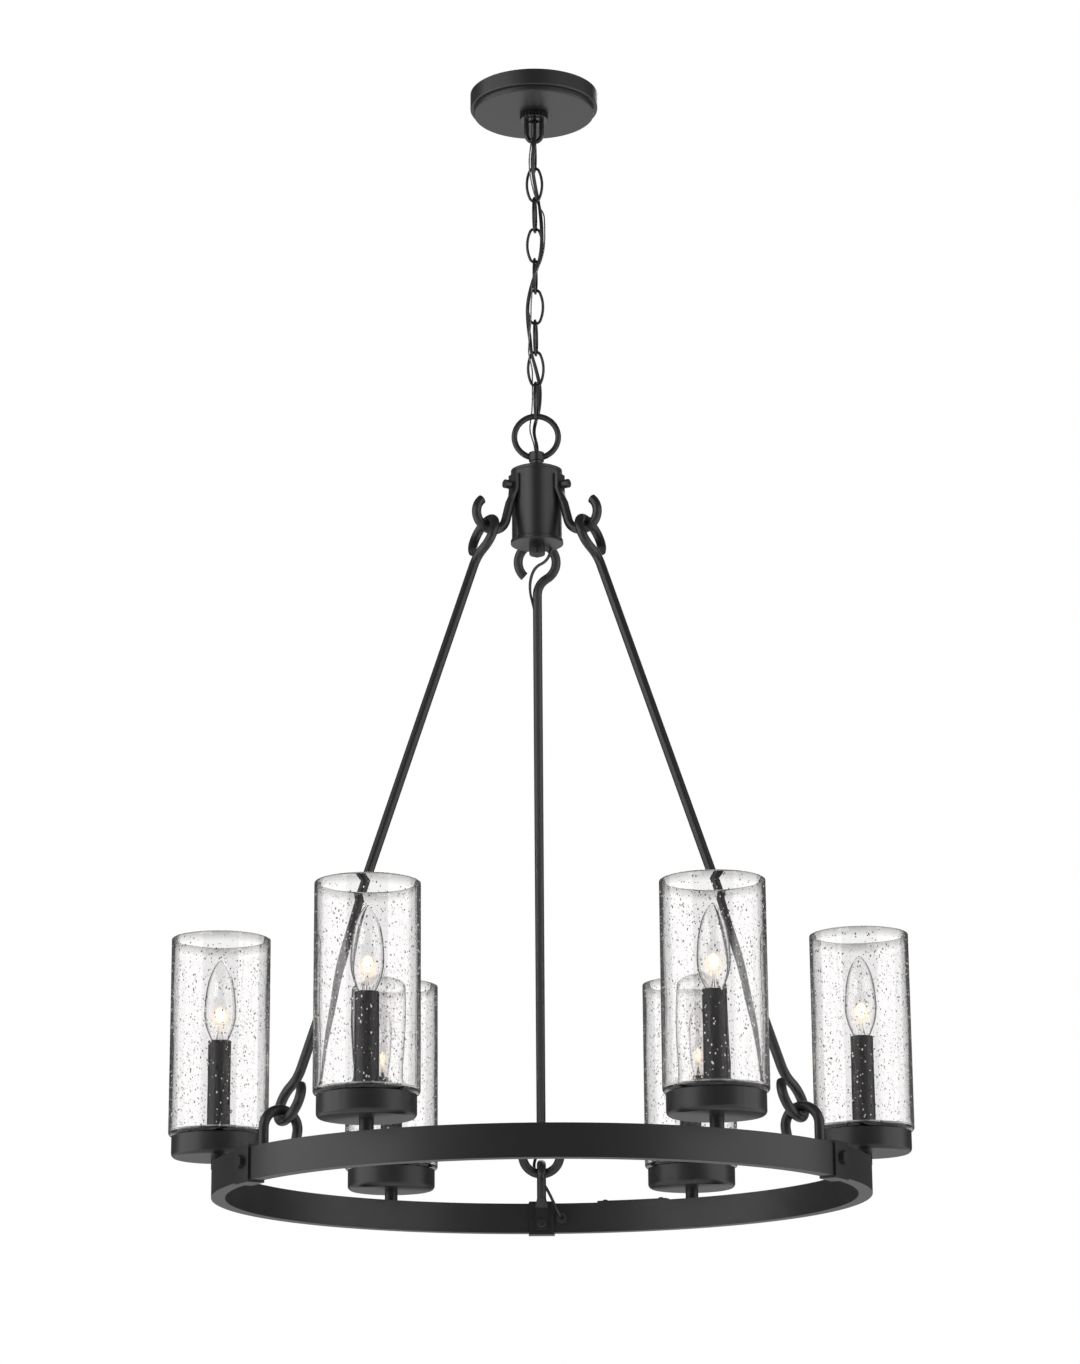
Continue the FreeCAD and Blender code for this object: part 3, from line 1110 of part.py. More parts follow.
NODES = (
    ["crossbar", "nipple", "nipple_nuts", "canopy", "collar_nut", "canopy_loop"]
    + ["chain_link_%d" % (number + 1) for number in range(int(s.link_count))]
    + ["supply_cord", "ground_wire", "hub_ring", "hub_top_cap", "hub_body", "hub_bottom_cap",
       "hub_core_pipe", "hub_finial", "cord_splice", "hook_knobs", "frame_cord"]
    + ["hub_hook_" + name for name in ROD_ANGLES]
    + ["rod_" + name for name in ROD_ANGLES]
    + ["ring_hook_" + name for name in ROD_ANGLES]
    + ["ring", "ring_clamps", "hook_rivets", "hex_bolts", "access_cover", "cover_screws",
       "grommet", "frame_wiring", "lamp_stems", "fitter_cups", "lock_rings", "candle_sleeves",
       "lamp_sockets"]
    + ["glass_%d" % (number + 1) for number in range(int(s.lamp_count))]
    + ["bulb_%d" % (number + 1) for number in range(int(s.lamp_count))]
)

for feature in doc.Objects:
    if "Invalid" in feature.State or "Error" in feature.State:
        raise ValueError("%s failed: %s" % (feature.Label, feature.State))

os.makedirs("parts", exist_ok=True)
for label in NODES:
    shape = doc.getObjectsByLabel(label)[0].Shape
    if shape.isNull() or not shape.isValid():
        raise ValueError("%s has no valid shape" % label)
    shape.exportStep("parts/%s.step" % label)
print("%d sub-parts" % len(NODES))
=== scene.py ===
"""Looks of an outdoor chandelier: black powder-coated metal, seeded glass and lit candle bulbs.

Lengths in the classes below are millimetres, heights count down from the ceiling plane, and every mesh
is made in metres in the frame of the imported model.
"""

from __future__ import annotations

import logging
import math
import random
from dataclasses import dataclass, field
from enum import Enum
from functools import lru_cache
from typing import Any, Iterable, Sequence

import bpy
from mathutils import Matrix, Vector
from mathutils.geometry import interpolate_bezier

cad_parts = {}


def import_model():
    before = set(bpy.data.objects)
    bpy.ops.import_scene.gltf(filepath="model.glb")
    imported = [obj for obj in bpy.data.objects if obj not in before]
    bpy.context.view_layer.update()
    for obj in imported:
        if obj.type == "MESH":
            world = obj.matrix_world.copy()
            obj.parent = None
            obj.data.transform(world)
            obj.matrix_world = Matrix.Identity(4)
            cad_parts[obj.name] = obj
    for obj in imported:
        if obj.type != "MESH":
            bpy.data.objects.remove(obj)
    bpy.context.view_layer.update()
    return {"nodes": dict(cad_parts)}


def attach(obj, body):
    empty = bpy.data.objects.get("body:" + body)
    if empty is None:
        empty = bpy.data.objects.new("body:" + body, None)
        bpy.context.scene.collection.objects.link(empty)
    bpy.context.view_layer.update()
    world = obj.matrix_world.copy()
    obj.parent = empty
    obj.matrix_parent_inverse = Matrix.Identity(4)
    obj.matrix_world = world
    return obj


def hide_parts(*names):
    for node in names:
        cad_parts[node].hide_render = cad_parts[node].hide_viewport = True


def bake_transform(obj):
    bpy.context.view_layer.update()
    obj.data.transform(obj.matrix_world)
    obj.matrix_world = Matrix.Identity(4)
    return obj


LOG = logging.getLogger("chandelier")
MM = 0.001
FULL_TURN = 2 * math.pi
UP = Vector((0, 0, 1))
SHARP_ANGLE = math.radians(40)
# Bands of the wave texture in each full turn of its coordinate.
WAVE_BANDS = 20
# How far a Bezier handle of a quarter circle reaches towards the corner.
ROUND_HANDLE = 0.552

Point = tuple[float, float, float]
Profile = list[tuple[float, float]]


class Sum(Enum):
    """What a math node makes of its two numbers."""

    TIMES = "MULTIPLY"
    BELOW = "LESS_THAN"
    LARGER = "MAXIMUM"


def linear(colour: str, alpha: float = 1.0) -> tuple[float, float, float, float]:
    """Turns an sRGB hex colour to linear values.

    Args:
        colour: The colour as #rrggbb.
        alpha: The fourth value.

    Returns:
        Red, green, blue and alpha, linear.
    """
    parts = [int(colour[i : i + 2], 16) / 255 for i in (1, 3, 5)]
    curved = [c / 12.92 if c <= 0.04045 else ((c + 0.055) / 1.055) ** 2.4 for c in parts]
    return (curved[0], curved[1], curved[2], alpha)


def add_node(tree: bpy.types.NodeTree, kind: str, inputs: dict[Any, Any] | None = None,
             **settings: Any) -> bpy.types.Node:
    """Adds a node with its settings and links.

    Args:
        tree: The node tree.
        kind: The node's type name.
        inputs: Socket names or numbers, each with a value or with the socket that feeds it.
        **settings: The node's own properties.

    Returns:
        The new node.
    """
    made = tree.nodes.new(kind)
    for name, value in settings.items():
        setattr(made, name, value)
    for name, value in (inputs or {}).items():
        if isinstance(value, bpy.types.NodeSocket):
            tree.links.new(value, made.inputs[name])
        else:
            made.inputs[name].default_value = value
    return made


def empty_material(title: str) -> tuple[bpy.types.Material, bpy.types.NodeTree]:
    """Makes a material with an empty node tree."""
    material = bpy.data.materials.new(title)
    material.use_nodes = True
    material.node_tree.nodes.clear()
    return material, material.node_tree


@dataclass(frozen=True)
class Finish:
    """A finish of this object, made as one material."""

    title: str

    def make(self) -> bpy.types.Material:
        """Builds the material round the finish's own shader."""
        material, tree = empty_material(self.title)
        add_node(tree, "ShaderNodeOutputMaterial", {"Surface": self.shader(tree).outputs["BSDF"]})
        return material

    def shader(self, tree: bpy.types.NodeTree) -> bpy.types.Node:
        """Builds the nodes that give the finish its look, the last of them a shader."""
        raise NotImplementedError


@lru_cache(maxsize=None)
def material_of(finish: Finish) -> bpy.types.Material:
    """Gives the material of a finish, made on the first call."""
    return finish.make()


@dataclass(frozen=True)
class OpaqueFinish(Finish):
    """An opaque finish: a colour that drifts a little, uneven gloss and a fine relief."""

    colour: str
    drift_colour: str
    roughness: float
    roughness_swing: float
    grain_mm: float
    relief_mm: float
    drift_mm: float = 45
    metallic: float = 0
    thread_pitch_mm: float = 0
    thread_depth_mm: float = 0.35

    def shader(self, tree: bpy.types.NodeTree) -> bpy.types.Node:
        """Builds the shader."""
        place = add_node(tree, "ShaderNodeTexCoord").outputs["Object"]
        drift = add_node(tree, "ShaderNodeTexNoise", {
            "Vector": place, "Scale": 1 / (self.drift_mm * MM), "Detail": 4})
        colour = add_node(tree, "ShaderNodeMix", {
            "Factor": drift.outputs["Fac"], "A": linear(self.colour),
            "B": linear(self.drift_colour)}, data_type="RGBA")
        grain = add_node(tree, "ShaderNodeTexNoise", {
            "Vector": place, "Scale": 1 / (self.grain_mm * MM), "Detail": 3})
        gloss = add_node(tree, "ShaderNodeMapRange", {
            "Value": grain.outputs["Fac"], "To Min": self.roughness - self.roughness_swing,
            "To Max": self.roughness + self.roughness_swing})
        relief = add_node(tree, "ShaderNodeBump", {
            "Height": grain.outputs["Fac"], "Distance": self.relief_mm * MM, "Strength": 0.6})
        if self.thread_pitch_mm:
            thread = add_node(tree, "ShaderNodeTexWave", {
                "Vector": place, "Scale": FULL_TURN / (WAVE_BANDS * self.thread_pitch_mm * MM)},
                bands_direction="Z", wave_profile="TRI")
            relief = add_node(tree, "ShaderNodeBump", {
                "Height": thread.outputs["Fac"], "Distance": self.thread_depth_mm * MM,
                "Strength": 1.0, "Normal": relief.outputs["Normal"]})
        return add_node(tree, "ShaderNodeBsdfPrincipled", {
            "Base Color": colour.outputs["Result"], "Roughness": gloss.outputs["Result"],
            "Metallic": self.metallic, "Normal": relief.outputs["Normal"]})


# Steel under a sprayed and baked polyester powder: a soft black with a low, even sheen and a faint
# orange peel, so edges catch broad grey highlights and never sharp ones.
POWDER_COAT = OpaqueFinish("black_powder_coated_steel", "#1a1919", "#1e1c1d", 0.36, 0.05, 1.4, 0.015)
# Links, loop and knurled nut are dipped in a thin enamel that stays smooth: darker and glossier.
DIPPED_ENAMEL = OpaqueFinish("black_dipped_enamel_steel", "#111010", "#171515", 0.24, 0.06, 2.2, 0.015)
# Screws and rivets are painted after they are set, which leaves them a little glossier.
PAINTED_FASTENER = OpaqueFinish("black_painted_fastener", "#1a1919", "#201f1f", 0.34, 0.06, 1.0, 0.02)
# Zinc plate on stamped steel: bluish grey metal with cloudy gloss from the bath.
ZINC_PLATE = OpaqueFinish("zinc_plated_steel", "#b7b9b8", "#9fa2a3", 0.34, 0.1, 3.0, 0.01, 18, 1)
# Threaded lamp pipe, zinc plated after it is rolled: the thread breaks the shine into fine rings.
THREADED_PIPE = OpaqueFinish("zinc_plated_threaded_pipe", "#b2b4b2", "#999c9c", 0.36, 0.08, 3.0,
                             0.01, 18, 1, 0.94)
# Drawn sleeve with a dead-flat black paint: dark, no sheen to speak of.
CANDLE_PAINT = OpaqueFinish("flat_black_painted_sleeve", "#161415", "#1b191a", 0.38, 0.05, 0.7, 0.02)
# Moulded phenolic of the lamp socket: brown-black, dense and slightly shiny.
PHENOLIC = OpaqueFinish("moulded_phenolic", "#17130f", "#1f1a15", 0.38, 0.06, 0.8, 0.01)
# Extruded PVC jacket of the cords: black, with the long soft highlight of a smooth plastic skin.
PVC_JACKET = OpaqueFinish("extruded_black_pvc", "#161515", "#1d1c1b", 0.36, 0.07, 0.9, 0.02)
# Moulded rubber of the grommet: black, dull, slightly bloomed.
GROMMET_RUBBER = OpaqueFinish("moulded_black_rubber", "#171616", "#222020", 0.66, 0.08, 0.8, 0.03)
# Off-white moulded nylon of the splice sleeve inside the hub.
SPLICE_NYLON = OpaqueFinish("moulded_nylon", "#c9c2ae", "#d5cfbd", 0.42, 0.05, 1.0, 0.01)
# Nickel-plated brass of the bulb's screw shell, pressed thin and bright.
NICKEL_SHELL = OpaqueFinish("nickel_plated_brass", "#cfc8b8", "#bdb5a4", 0.22, 0.06, 2.0, 0.01, 12, 1)
# Drawn nickel wire that holds the filament.
NICKEL_WIRE = OpaqueFinish("drawn_nickel_wire", "#8f8a82", "#7f7a72", 0.28, 0.06, 0.5, 0.005, 12, 1)


@dataclass(frozen=True)
class ClearJacket(Finish):
    """Clear PVC over tinned copper strands: pale, wet-looking, with the metal showing through.

    The real strands are too fine to show, so they are drawn coarser.
    """

    title: str = "clear_pvc_over_tinned_copper"
    strand_colour: str = "#5c5852"
    gap_colour: str = "#24211f"
    roughness: float = 0.18
    coat_roughness: float = 0.06
    strand_mm: float = 0.35
    drawn_coarser: float = 8

    def shader(self, tree: bpy.types.NodeTree) -> bpy.types.Node:
        """Builds the shader."""
        place = add_node(tree, "ShaderNodeTexCoord").outputs["Object"]
        strands = add_node(tree, "ShaderNodeTexWave", {
            "Vector": place, "Scale": FULL_TURN / (
                WAVE_BANDS * self.drawn_coarser * self.strand_mm * MM),
            "Distortion": 2.5, "Detail": 2}, bands_direction="DIAGONAL")
        colour = add_node(tree, "ShaderNodeMix", {
            "Factor": strands.outputs["Fac"], "A": linear(self.gap_colour),
            "B": linear(self.strand_colour)}, data_type="RGBA")
        return add_node(tree, "ShaderNodeBsdfPrincipled", {
            "Base Color": colour.outputs["Result"], "Roughness": self.roughness,
            "Coat Weight": 1.0, "Coat Roughness": self.coat_roughness})


@dataclass(frozen=True)
class SeededGlass(Finish):
    """Soda-lime glass blown with trapped air: clear, faintly grey, peppered with upright seeds.

    The smallest seeds are drawn as upright cells that scatter light, so they look dark against a bright
    room and pale against the black candle. The wall is painted darker where the eye meets it edge on,
    a painted shade for the dark edge lines that the thick glass bends into view, and darker towards the
    lip, a painted shade for the dark line of the thick melted rim. The skin has the slow ripple of
    blown glass.
    """

    title: str = "blown_seeded_glass"
    colour: str = "#fcfbfb"
    # Grey of the painted shade mixed into the glass edge on and towards the lip.
    painted_shade_colour: str = "#8d8b88"
    seed_colour: str = "#6a6968"
    roughness: float = 0.02
    refraction: float = 1.5
    seed_width_mm: float = 2.0
    seed_length_mm: float = 3.6
    seed_share: float = 0.1
    seed_clearness: float = 0.35
    edge_facing: float = 0.88
    lip_mm: float = -940.35
    lip_band_mm: float = 10
    # How much painted shade the glass gets at the lip.
    painted_lip_shade: float = 0.75
    ripple_mm: float = 26
    ripple_height_mm: float = 0.06

    def shader(self, tree: bpy.types.NodeTree) -> bpy.types.Node:
        """Builds the shader."""
        place = add_node(tree, "ShaderNodeTexCoord").outputs["Object"]
        upright = add_node(tree, "ShaderNodeMapping", {
            "Vector": place,
            "Scale": (1 / (self.seed_width_mm * MM), 1 / (self.seed_width_mm * MM),
                      1 / (self.seed_length_mm * MM))})
        cells = add_node(tree, "ShaderNodeTexVoronoi", {
            "Vector": upright.outputs["Vector"], "Scale": 1.0, "Randomness": 1.0})
        size = add_node(tree, "ShaderNodeSeparateColor", {"Color": cells.outputs["Color"]})
        reach = add_node(tree, "ShaderNodeMath", {
            0: size.outputs["Red"], 1: self.seed_share}, operation=Sum.TIMES.value)
        seed = add_node(tree, "ShaderNodeMath", {
            0: cells.outputs["Distance"], 1: reach.outputs["Value"]}, operation=Sum.BELOW.value)
        # Painted shade: the glass turns grey where the eye meets it edge on, for the dark edge lines of
        # refraction.
        edge_on = add_node(tree, "ShaderNodeLayerWeight", {"Blend": 0.5})
        painted_edge_shade_mask = add_node(tree, "ShaderNodeMapRange", {
            "Value": edge_on.outputs["Facing"], "From Min": self.edge_facing, "From Max": 1.0})
        height = add_node(tree, "ShaderNodeSeparateXYZ", {"Vector": place})
        # Painted shade towards the lip, for the dark line of the thick melted rim.
        lip = add_node(tree, "ShaderNodeMapRange", {
            "Value": height.outputs["Z"], "From Min": (self.lip_mm - self.lip_band_mm) * MM,
            "From Max": self.lip_mm * MM, "To Max": self.painted_lip_shade})
        painted_shade_mask = add_node(tree, "ShaderNodeMath", {
            0: painted_edge_shade_mask.outputs["Result"], 1: lip.outputs["Result"]}, operation=Sum.LARGER.value)
        # The glass colour with the painted shade mixed in.
        wall = add_node(tree, "ShaderNodeMix", {
            "Factor": painted_shade_mask.outputs["Value"], "A": linear(self.colour),
            "B": linear(self.painted_shade_colour)}, data_type="RGBA")
        colour = add_node(tree, "ShaderNodeMix", {
            "Factor": seed.outputs["Value"], "A": wall.outputs["Result"],
            "B": linear(self.seed_colour)}, data_type="RGBA")
        clear = add_node(tree, "ShaderNodeMapRange", {
            "Value": seed.outputs["Value"], "To Min": 1.0, "To Max": self.seed_clearness})
        ripple = add_node(tree, "ShaderNodeTexNoise", {
            "Vector": place, "Scale": 1 / (self.ripple_mm * MM), "Detail": 1})
        relief = add_node(tree, "ShaderNodeBump", {
            "Height": ripple.outputs["Fac"], "Distance": self.ripple_height_mm * MM,
            "Strength": 1.0})
        return add_node(tree, "ShaderNodeBsdfPrincipled", {
            "Base Color": colour.outputs["Result"], "Roughness": self.roughness,
            "IOR": self.refraction, "Transmission Weight": clear.outputs["Result"],
            "Normal": relief.outputs["Normal"]})


@dataclass(frozen=True)
class TrappedAir(Finish):
    """Air in the glass wall: some bubbles mirror the dark of the room and some its light.

    Their colours are painted reflections, dark on some bubbles and pale on the rest, so against white
    only the dark ones show, and against the black candle only the pale ones.
    """

    title: str = "air_trapped_in_glass"
    # Painted reflections: of the room's dark, from darkest to dark, and of its light.
    darkest: str = "#060606"
    dark: str = "#3c3b3a"
    pale: str = "#e9e9e6"
    pale_share: float = 0.5
    roughness: float = 0.25

    def shader(self, tree: bpy.types.NodeTree) -> bpy.types.Node:
        """Builds the shader."""
        # Each bubble gets at random a painted dark reflection or a painted pale one.
        each = add_node(tree, "ShaderNodeNewGeometry").outputs["Random Per Island"]
        dark_reflection_spread = add_node(tree, "ShaderNodeMapRange", {
            "Value": each, "From Min": self.pale_share, "From Max": 1.0})
        dark = add_node(tree, "ShaderNodeMix", {
            "Factor": dark_reflection_spread.outputs["Result"], "A": linear(self.dark), "B": linear(self.darkest)},
            data_type="RGBA")
        is_pale = add_node(tree, "ShaderNodeMath", {0: each, 1: self.pale_share},
                           operation=Sum.BELOW.value)
        colour = add_node(tree, "ShaderNodeMix", {
            "Factor": is_pale.outputs["Value"], "A": dark.outputs["Result"], "B": linear(self.pale)},
            data_type="RGBA")
        return add_node(tree, "ShaderNodeBsdfPrincipled", {
            "Base Color": colour.outputs["Result"], "Roughness": self.roughness})


@dataclass(frozen=True)
class ClearGlass(Finish):
    """Thin blown lamp glass: colourless, seen by its reflections and the warm haze of the light."""

    title: str = "clear_lamp_glass"
    colour: str = "#ffffff"
    # Grey of the painted shade mixed into the glass where the eye meets it edge on.
    painted_shade_colour: str = "#868380"
    edge_facing: tuple[float, float] = (0.58, 0.95)
    refraction: float = 1.5
    film_mm: float = 9
    film_roughness: float = 0.06

    def shader(self, tree: bpy.types.NodeTree) -> bpy.types.Node:
        """Builds the shader."""
        place = add_node(tree, "ShaderNodeTexCoord").outputs["Object"]
        film = add_node(tree, "ShaderNodeTexNoise", {
            "Vector": place, "Scale": 1 / (self.film_mm * MM)})
        gloss = add_node(tree, "ShaderNodeMapRange", {
            "Value": film.outputs["Fac"], "To Min": 0.0, "To Max": self.film_roughness})
        # Painted shade: the glass turns grey edge on, for the dark lines that refraction shows at its
        # outline.
        edge_on = add_node(tree, "ShaderNodeLayerWeight", {"Blend": 0.5})
        painted_edge_shade_mask = add_node(tree, "ShaderNodeMapRange", {
            "Value": edge_on.outputs["Facing"], "From Min": self.edge_facing[0],
            "From Max": self.edge_facing[1]})
        colour = add_node(tree, "ShaderNodeMix", {
            "Factor": painted_edge_shade_mask.outputs["Result"], "A": linear(self.colour),
            "B": linear(self.painted_shade_colour)}, data_type="RGBA")
        return add_node(tree, "ShaderNodeBsdfPrincipled", {
            "Base Color": colour.outputs["Result"], "Roughness": gloss.outputs["Result"],
            "IOR": self.refraction, "Transmission Weight": 1.0})


@dataclass(frozen=True)
class LampGlow(Finish):
    """Light of the filament: white at the heart and amber outwards, thinner with each shell."""

    colour: str
    strength: float
    alpha: float

    def shader(self, tree: bpy.types.NodeTree) -> bpy.types.Node:
        """Builds the shader."""
        return add_node(tree, "ShaderNodeBsdfPrincipled", {
            "Base Color": linear("#000000"), "Roughness": 1.0, "Specular IOR Level": 0.0,
            "Emission Color": linear(self.colour), "Emission Strength": self.strength,
            "Alpha": self.alpha})


GLOW_HEART = LampGlow("glowing_filament_heart", "#fff9ea", 2.4, 0.9)
GLOW_SHELLS = (
    LampGlow("glowing_filament_halo", "#fff3d8", 1.4, 0.5),
    LampGlow("glowing_filament_glare", "#fff0d6", 1.25, 0.26),
    LampGlow("glowing_filament_haze", "#fff0dc", 1.1, 0.1),
)
HOT_WIRE = LampGlow("incandescent_tungsten_wire", "#ff9a3c", 14.0, 1.0)


def new_mesh(name: str, points: Sequence[Sequence[float]], faces: Sequence[Sequence[int]],
             material: bpy.types.Material) -> bpy.types.Object:
    """Makes a smooth mesh object from points and faces.

    Args:
        name: The piece's name.
        points: The points in metres.
        faces: The faces as point numbers.
        material: Its finish.

    Returns:
        The object, linked to the scene.
    """
    mesh = bpy.data.meshes.new(name)
    mesh.from_pydata([tuple(p) for p in points], [], [tuple(f) for f in faces])
    mesh.validate()
    mesh.shade_smooth()
    mesh.set_sharp_from_angle(angle=SHARP_ANGLE)
    mesh.materials.append(material)
    return add_object(name, mesh)


def add_object(name: str, data: bpy.types.ID) -> bpy.types.Object:
    """Makes an object of a mesh, curve, lamp or camera and links it to the scene."""
    made = bpy.data.objects.new(name, data)
    bpy.context.scene.collection.objects.link(made)
    return made


def lathe(profile: Profile, steps: int, centre: Point, closed: bool = True) -> tuple[list, list]:
    """Turns a profile about a vertical axis.

    Args:
        profile: Radii and heights in millimetres. A radius of zero makes a pole.
        steps: Steps round the axis.
        centre: The axis' foot in millimetres.
        closed: Whether the profile's last point joins its first.

    Returns:
        Points in metres and faces.
    """
    points: list[Point] = []
    rings: list[list[int]] = []
    for radius, height in profile:
        count = 1 if radius == 0 else steps
        rings.append(list(range(len(points), len(points) + count)))
        for i in range(count):
            turn = FULL_TURN * i / steps
            points.append(((centre[0] + radius * math.cos(turn)) * MM,
                           (centre[1] + radius * math.sin(turn)) * MM, (centre[2] + height) * MM))
    faces: list[list[int]] = []
    pairs = list(zip(rings, rings[1:])) + ([(rings[-1], rings[0])] if closed else [])
    for low, high in pairs:
        if len(low) == 1 and len(high) == 1:
            continue
        for i in range(steps):
            j = (i + 1) % steps
            corners = [low[i % len(low)], low[j % len(low)], high[j % len(high)], high[i % len(high)]]
            faces.append(list(dict.fromkeys(corners)))
    return points, faces


def rounded(corner: tuple[float, float], before: tuple[float, float], after: tuple[float, float],
            radius: float, steps: int = 5) -> Profile:
    """Rounds one corner of a profile.

    Args:
        corner: The sharp corner.
        before: A point on the side that arrives.
        after: A point on the side that leaves.
        radius: How far from the corner the bend starts.
        steps: Points of the bend.

    Returns:
        The points of the bend.
    """
    tip = Vector(corner)
    start = tip + (Vector(before) - tip).normalized() * radius
    end = tip + (Vector(after) - tip).normalized() * radius
    bend = interpolate_bezier(start.to_3d(), start.lerp(tip, ROUND_HANDLE).to_3d(),
                              end.lerp(tip, ROUND_HANDLE).to_3d(), end.to_3d(), steps)
    return [(p.x, p.y) for p in bend]


def smooth_profile(points: Profile, steps: int = 6) -> Profile:
    """Draws a Catmull-Rom curve through the points of a profile."""
    ends = [points[0], *points, points[-1]]
    curve: Profile = []
    for a, b, c, d in zip(ends, ends[1:], ends[2:], ends[3:]):
        for i in range(steps):
            t = i / steps
            curve.append(tuple(
                0.5 * (2 * b[k] + (c[k] - a[k]) * t + (2 * a[k] - 5 * b[k] + 4 * c[k] - d[k]) * t * t
                       + (3 * b[k] - a[k] - 3 * c[k] + d[k]) * t ** 3) for k in (0, 1)))
    return [*curve, points[-1]]


def spline_line(route: Sequence[Point], per_run: int) -> list[Vector]:
    """Reads points along the smooth spline that a route controls.

    Args:
        route: The route's points in millimetres.
        per_run: Points read for each point of the route.

    Returns:
        The points in metres.
    """
    curve = bpy.data.curves.new("route", "CURVE")
    curve.dimensions = "3D"
    curve.resolution_u = per_run
    spline = curve.splines.new("NURBS")
    spline.points.add(len(route) - 1)
    for control, (x, y, z) in zip(spline.points, route):
        control.co = (x * MM, y * MM, z * MM, 1)
    spline.order_u = 3
    spline.use_endpoint_u = True
    holder = add_object("route", curve)
    bpy.context.view_layer.update()
    mesh = bpy.data.meshes.new_from_object(holder.evaluated_get(
        bpy.context.evaluated_depsgraph_get()))
    line = [vertex.co.copy() for vertex in mesh.vertices]
    bpy.data.objects.remove(holder)
    bpy.data.curves.remove(curve)
    bpy.data.meshes.remove(mesh)
    return line


def section_tube(line: Sequence[Vector], section: Sequence[tuple[float, float]], twist: float = 0,
                 start_along: float = 0, frames: list[Vector] | None = None) -> tuple[list, list]:
    """Sweeps a closed section along a line, with flat ends.

    Args:
        line: The line's points in metres.
        section: The section's points in millimetres, in order round it.
        twist: Turn of the section for each metre, in radians.
        start_along: Length of line before the first point, in metres, for the twist.
        frames: The side direction at each point, so that stretches of one line match.

    Returns:
        Points in metres and faces.
    """
    sides = frames or side_directions(line)
    points: list[Vector] = []
    along = start_along
    for i, here in enumerate(line):
        if i:
            along += (here - line[i - 1]).length
        before, after = line[max(i - 1, 0)], line[min(i + 1, len(line) - 1)]
        ahead = (after - before).normalized()
        side = (sides[i] - ahead * sides[i].dot(ahead)).normalized()
        up = ahead.cross(side)
        turned = Matrix.Rotation(twist * along, 2)
        for corner in section:
            x, y = turned @ Vector(corner)
            points.append(here + side * (x * MM) + up * (y * MM))
    count = len(section)
    faces = [[r * count + i, r * count + (i + 1) % count, (r + 1) * count + (i + 1) % count,
              (r + 1) * count + i] for r in range(len(line) - 1) for i in range(count)]
    faces.append(list(range(count))[::-1])
    faces.append(list(range((len(line) - 1) * count, len(line) * count)))
    return points, faces


def lengths_along(line: Sequence[Vector]) -> list[float]:
    """Gives the length of line before each of its points, in metres."""
    lengths = [0.0]
    for a, b in zip(line, line[1:]):
        lengths.append(lengths[-1] + (b - a).length)
    return lengths


def side_directions(line: Sequence[Vector]) -> list[Vector]:
    """Carries one side direction along a line without turning it about the line."""
    side = Vector((1, 0, 0))
    sides = []
    for i in range(len(line)):
        ahead = (line[min(i + 1, len(line) - 1)] - line[max(i - 1, 0)]).normalized()
        side = (side - ahead * side.dot(ahead)).normalized()
        sides.append(side)
    return sides


def first_below(line: Sequence[Vector], height: float) -> int:
    """Gives the number of the line's first point below a height in millimetres."""
    return next(i for i, point in enumerate(line) if point.z < height * MM)


def round_section(radius: float, count: int = 14) -> list[tuple[float, float]]:
    """Gives the points of a round section in millimetres."""
    return [(radius * math.cos(FULL_TURN * i / count), radius * math.sin(FULL_TURN * i / count))
            for i in range(count)]


def twin_section(width: float, thickness: float, count: int = 20) -> list[tuple[float, float]]:
    """Gives the section of a two-core cord, with a groove down each flat side."""
    groove_depth, groove_width, core_swell = 0.3, 0.28, 0.25
    points = []
    for i in range(count):
        turn = FULL_TURN * i / count
        groove = 1 - groove_depth * math.exp(-(math.cos(turn) / groove_width) ** 2)
        points.append((width / 2 * math.cos(turn), thickness / 2 * math.sin(turn) * groove
                       * (1 + core_swell * abs(math.cos(turn)))))
    return points


@dataclass
class Chain:
    """The chain: heights of its pivots and of its links' middles, counted from the ceiling."""

    first_pivot: float = -55.2
    second_pivot: float = -89.6
    pitch: float = 35.5
    last_stretch: float = 4.0
    links: int = 9
    first_middle: float = -70.2
    blend_reach: float = 8

    def pivots(self) -> list[float]:
        """Heights of the pivots, from the ceiling loop to the hub's ring."""
        heights = [self.first_pivot]
        heights += [self.second_pivot - self.pitch * i for i in range(self.links)]
        heights[-1] -= self.last_stretch
        return heights

    def middles(self) -> list[float]:
        """Heights of the links' middles."""
        return [self.first_middle - self.pitch * i for i in range(self.links)]

    def bodies(self) -> list[str]:
        """Bodies from the ceiling to the hub."""
        return ["ceiling_mount", *(f"link_{i + 1}" for i in range(self.links)), "hub"]


@dataclass
class WovenCord:
    """A cord that is woven through the chain, made as one stretch for each pivot that it crosses."""

    name: str
    route: list[Point]
    section: list[tuple[float, float]]
    finish: Finish
    slot: str
    twist: float = 0
    steps: int = 8
    chain: Chain = field(default_factory=Chain)

    def build(self) -> int:
        """Builds the stretches.

        Returns:
            How many stretches were made.
        """
        line = spline_line(self.route, self.steps)
        sides = side_directions(line)
        lengths = lengths_along(line)
        cuts = [0]
        for middle in self.chain.middles():
            cuts.append(first_below(line, middle))
        cuts.append(len(line) - 1)
        bodies = self.chain.bodies()
        for number, (first, last) in enumerate(zip(cuts, cuts[1:])):
            points, faces = section_tube(line[first : last + 1], self.section, self.twist,
                                         lengths[first], sides[first : last + 1])
            made = new_mesh(f"{self.name}_{number + 1}", points, faces, material_of(self.finish))
            pivot = self.chain.pivots()[number]
            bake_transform(made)
            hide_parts(self.name)
        return len(cuts) - 1


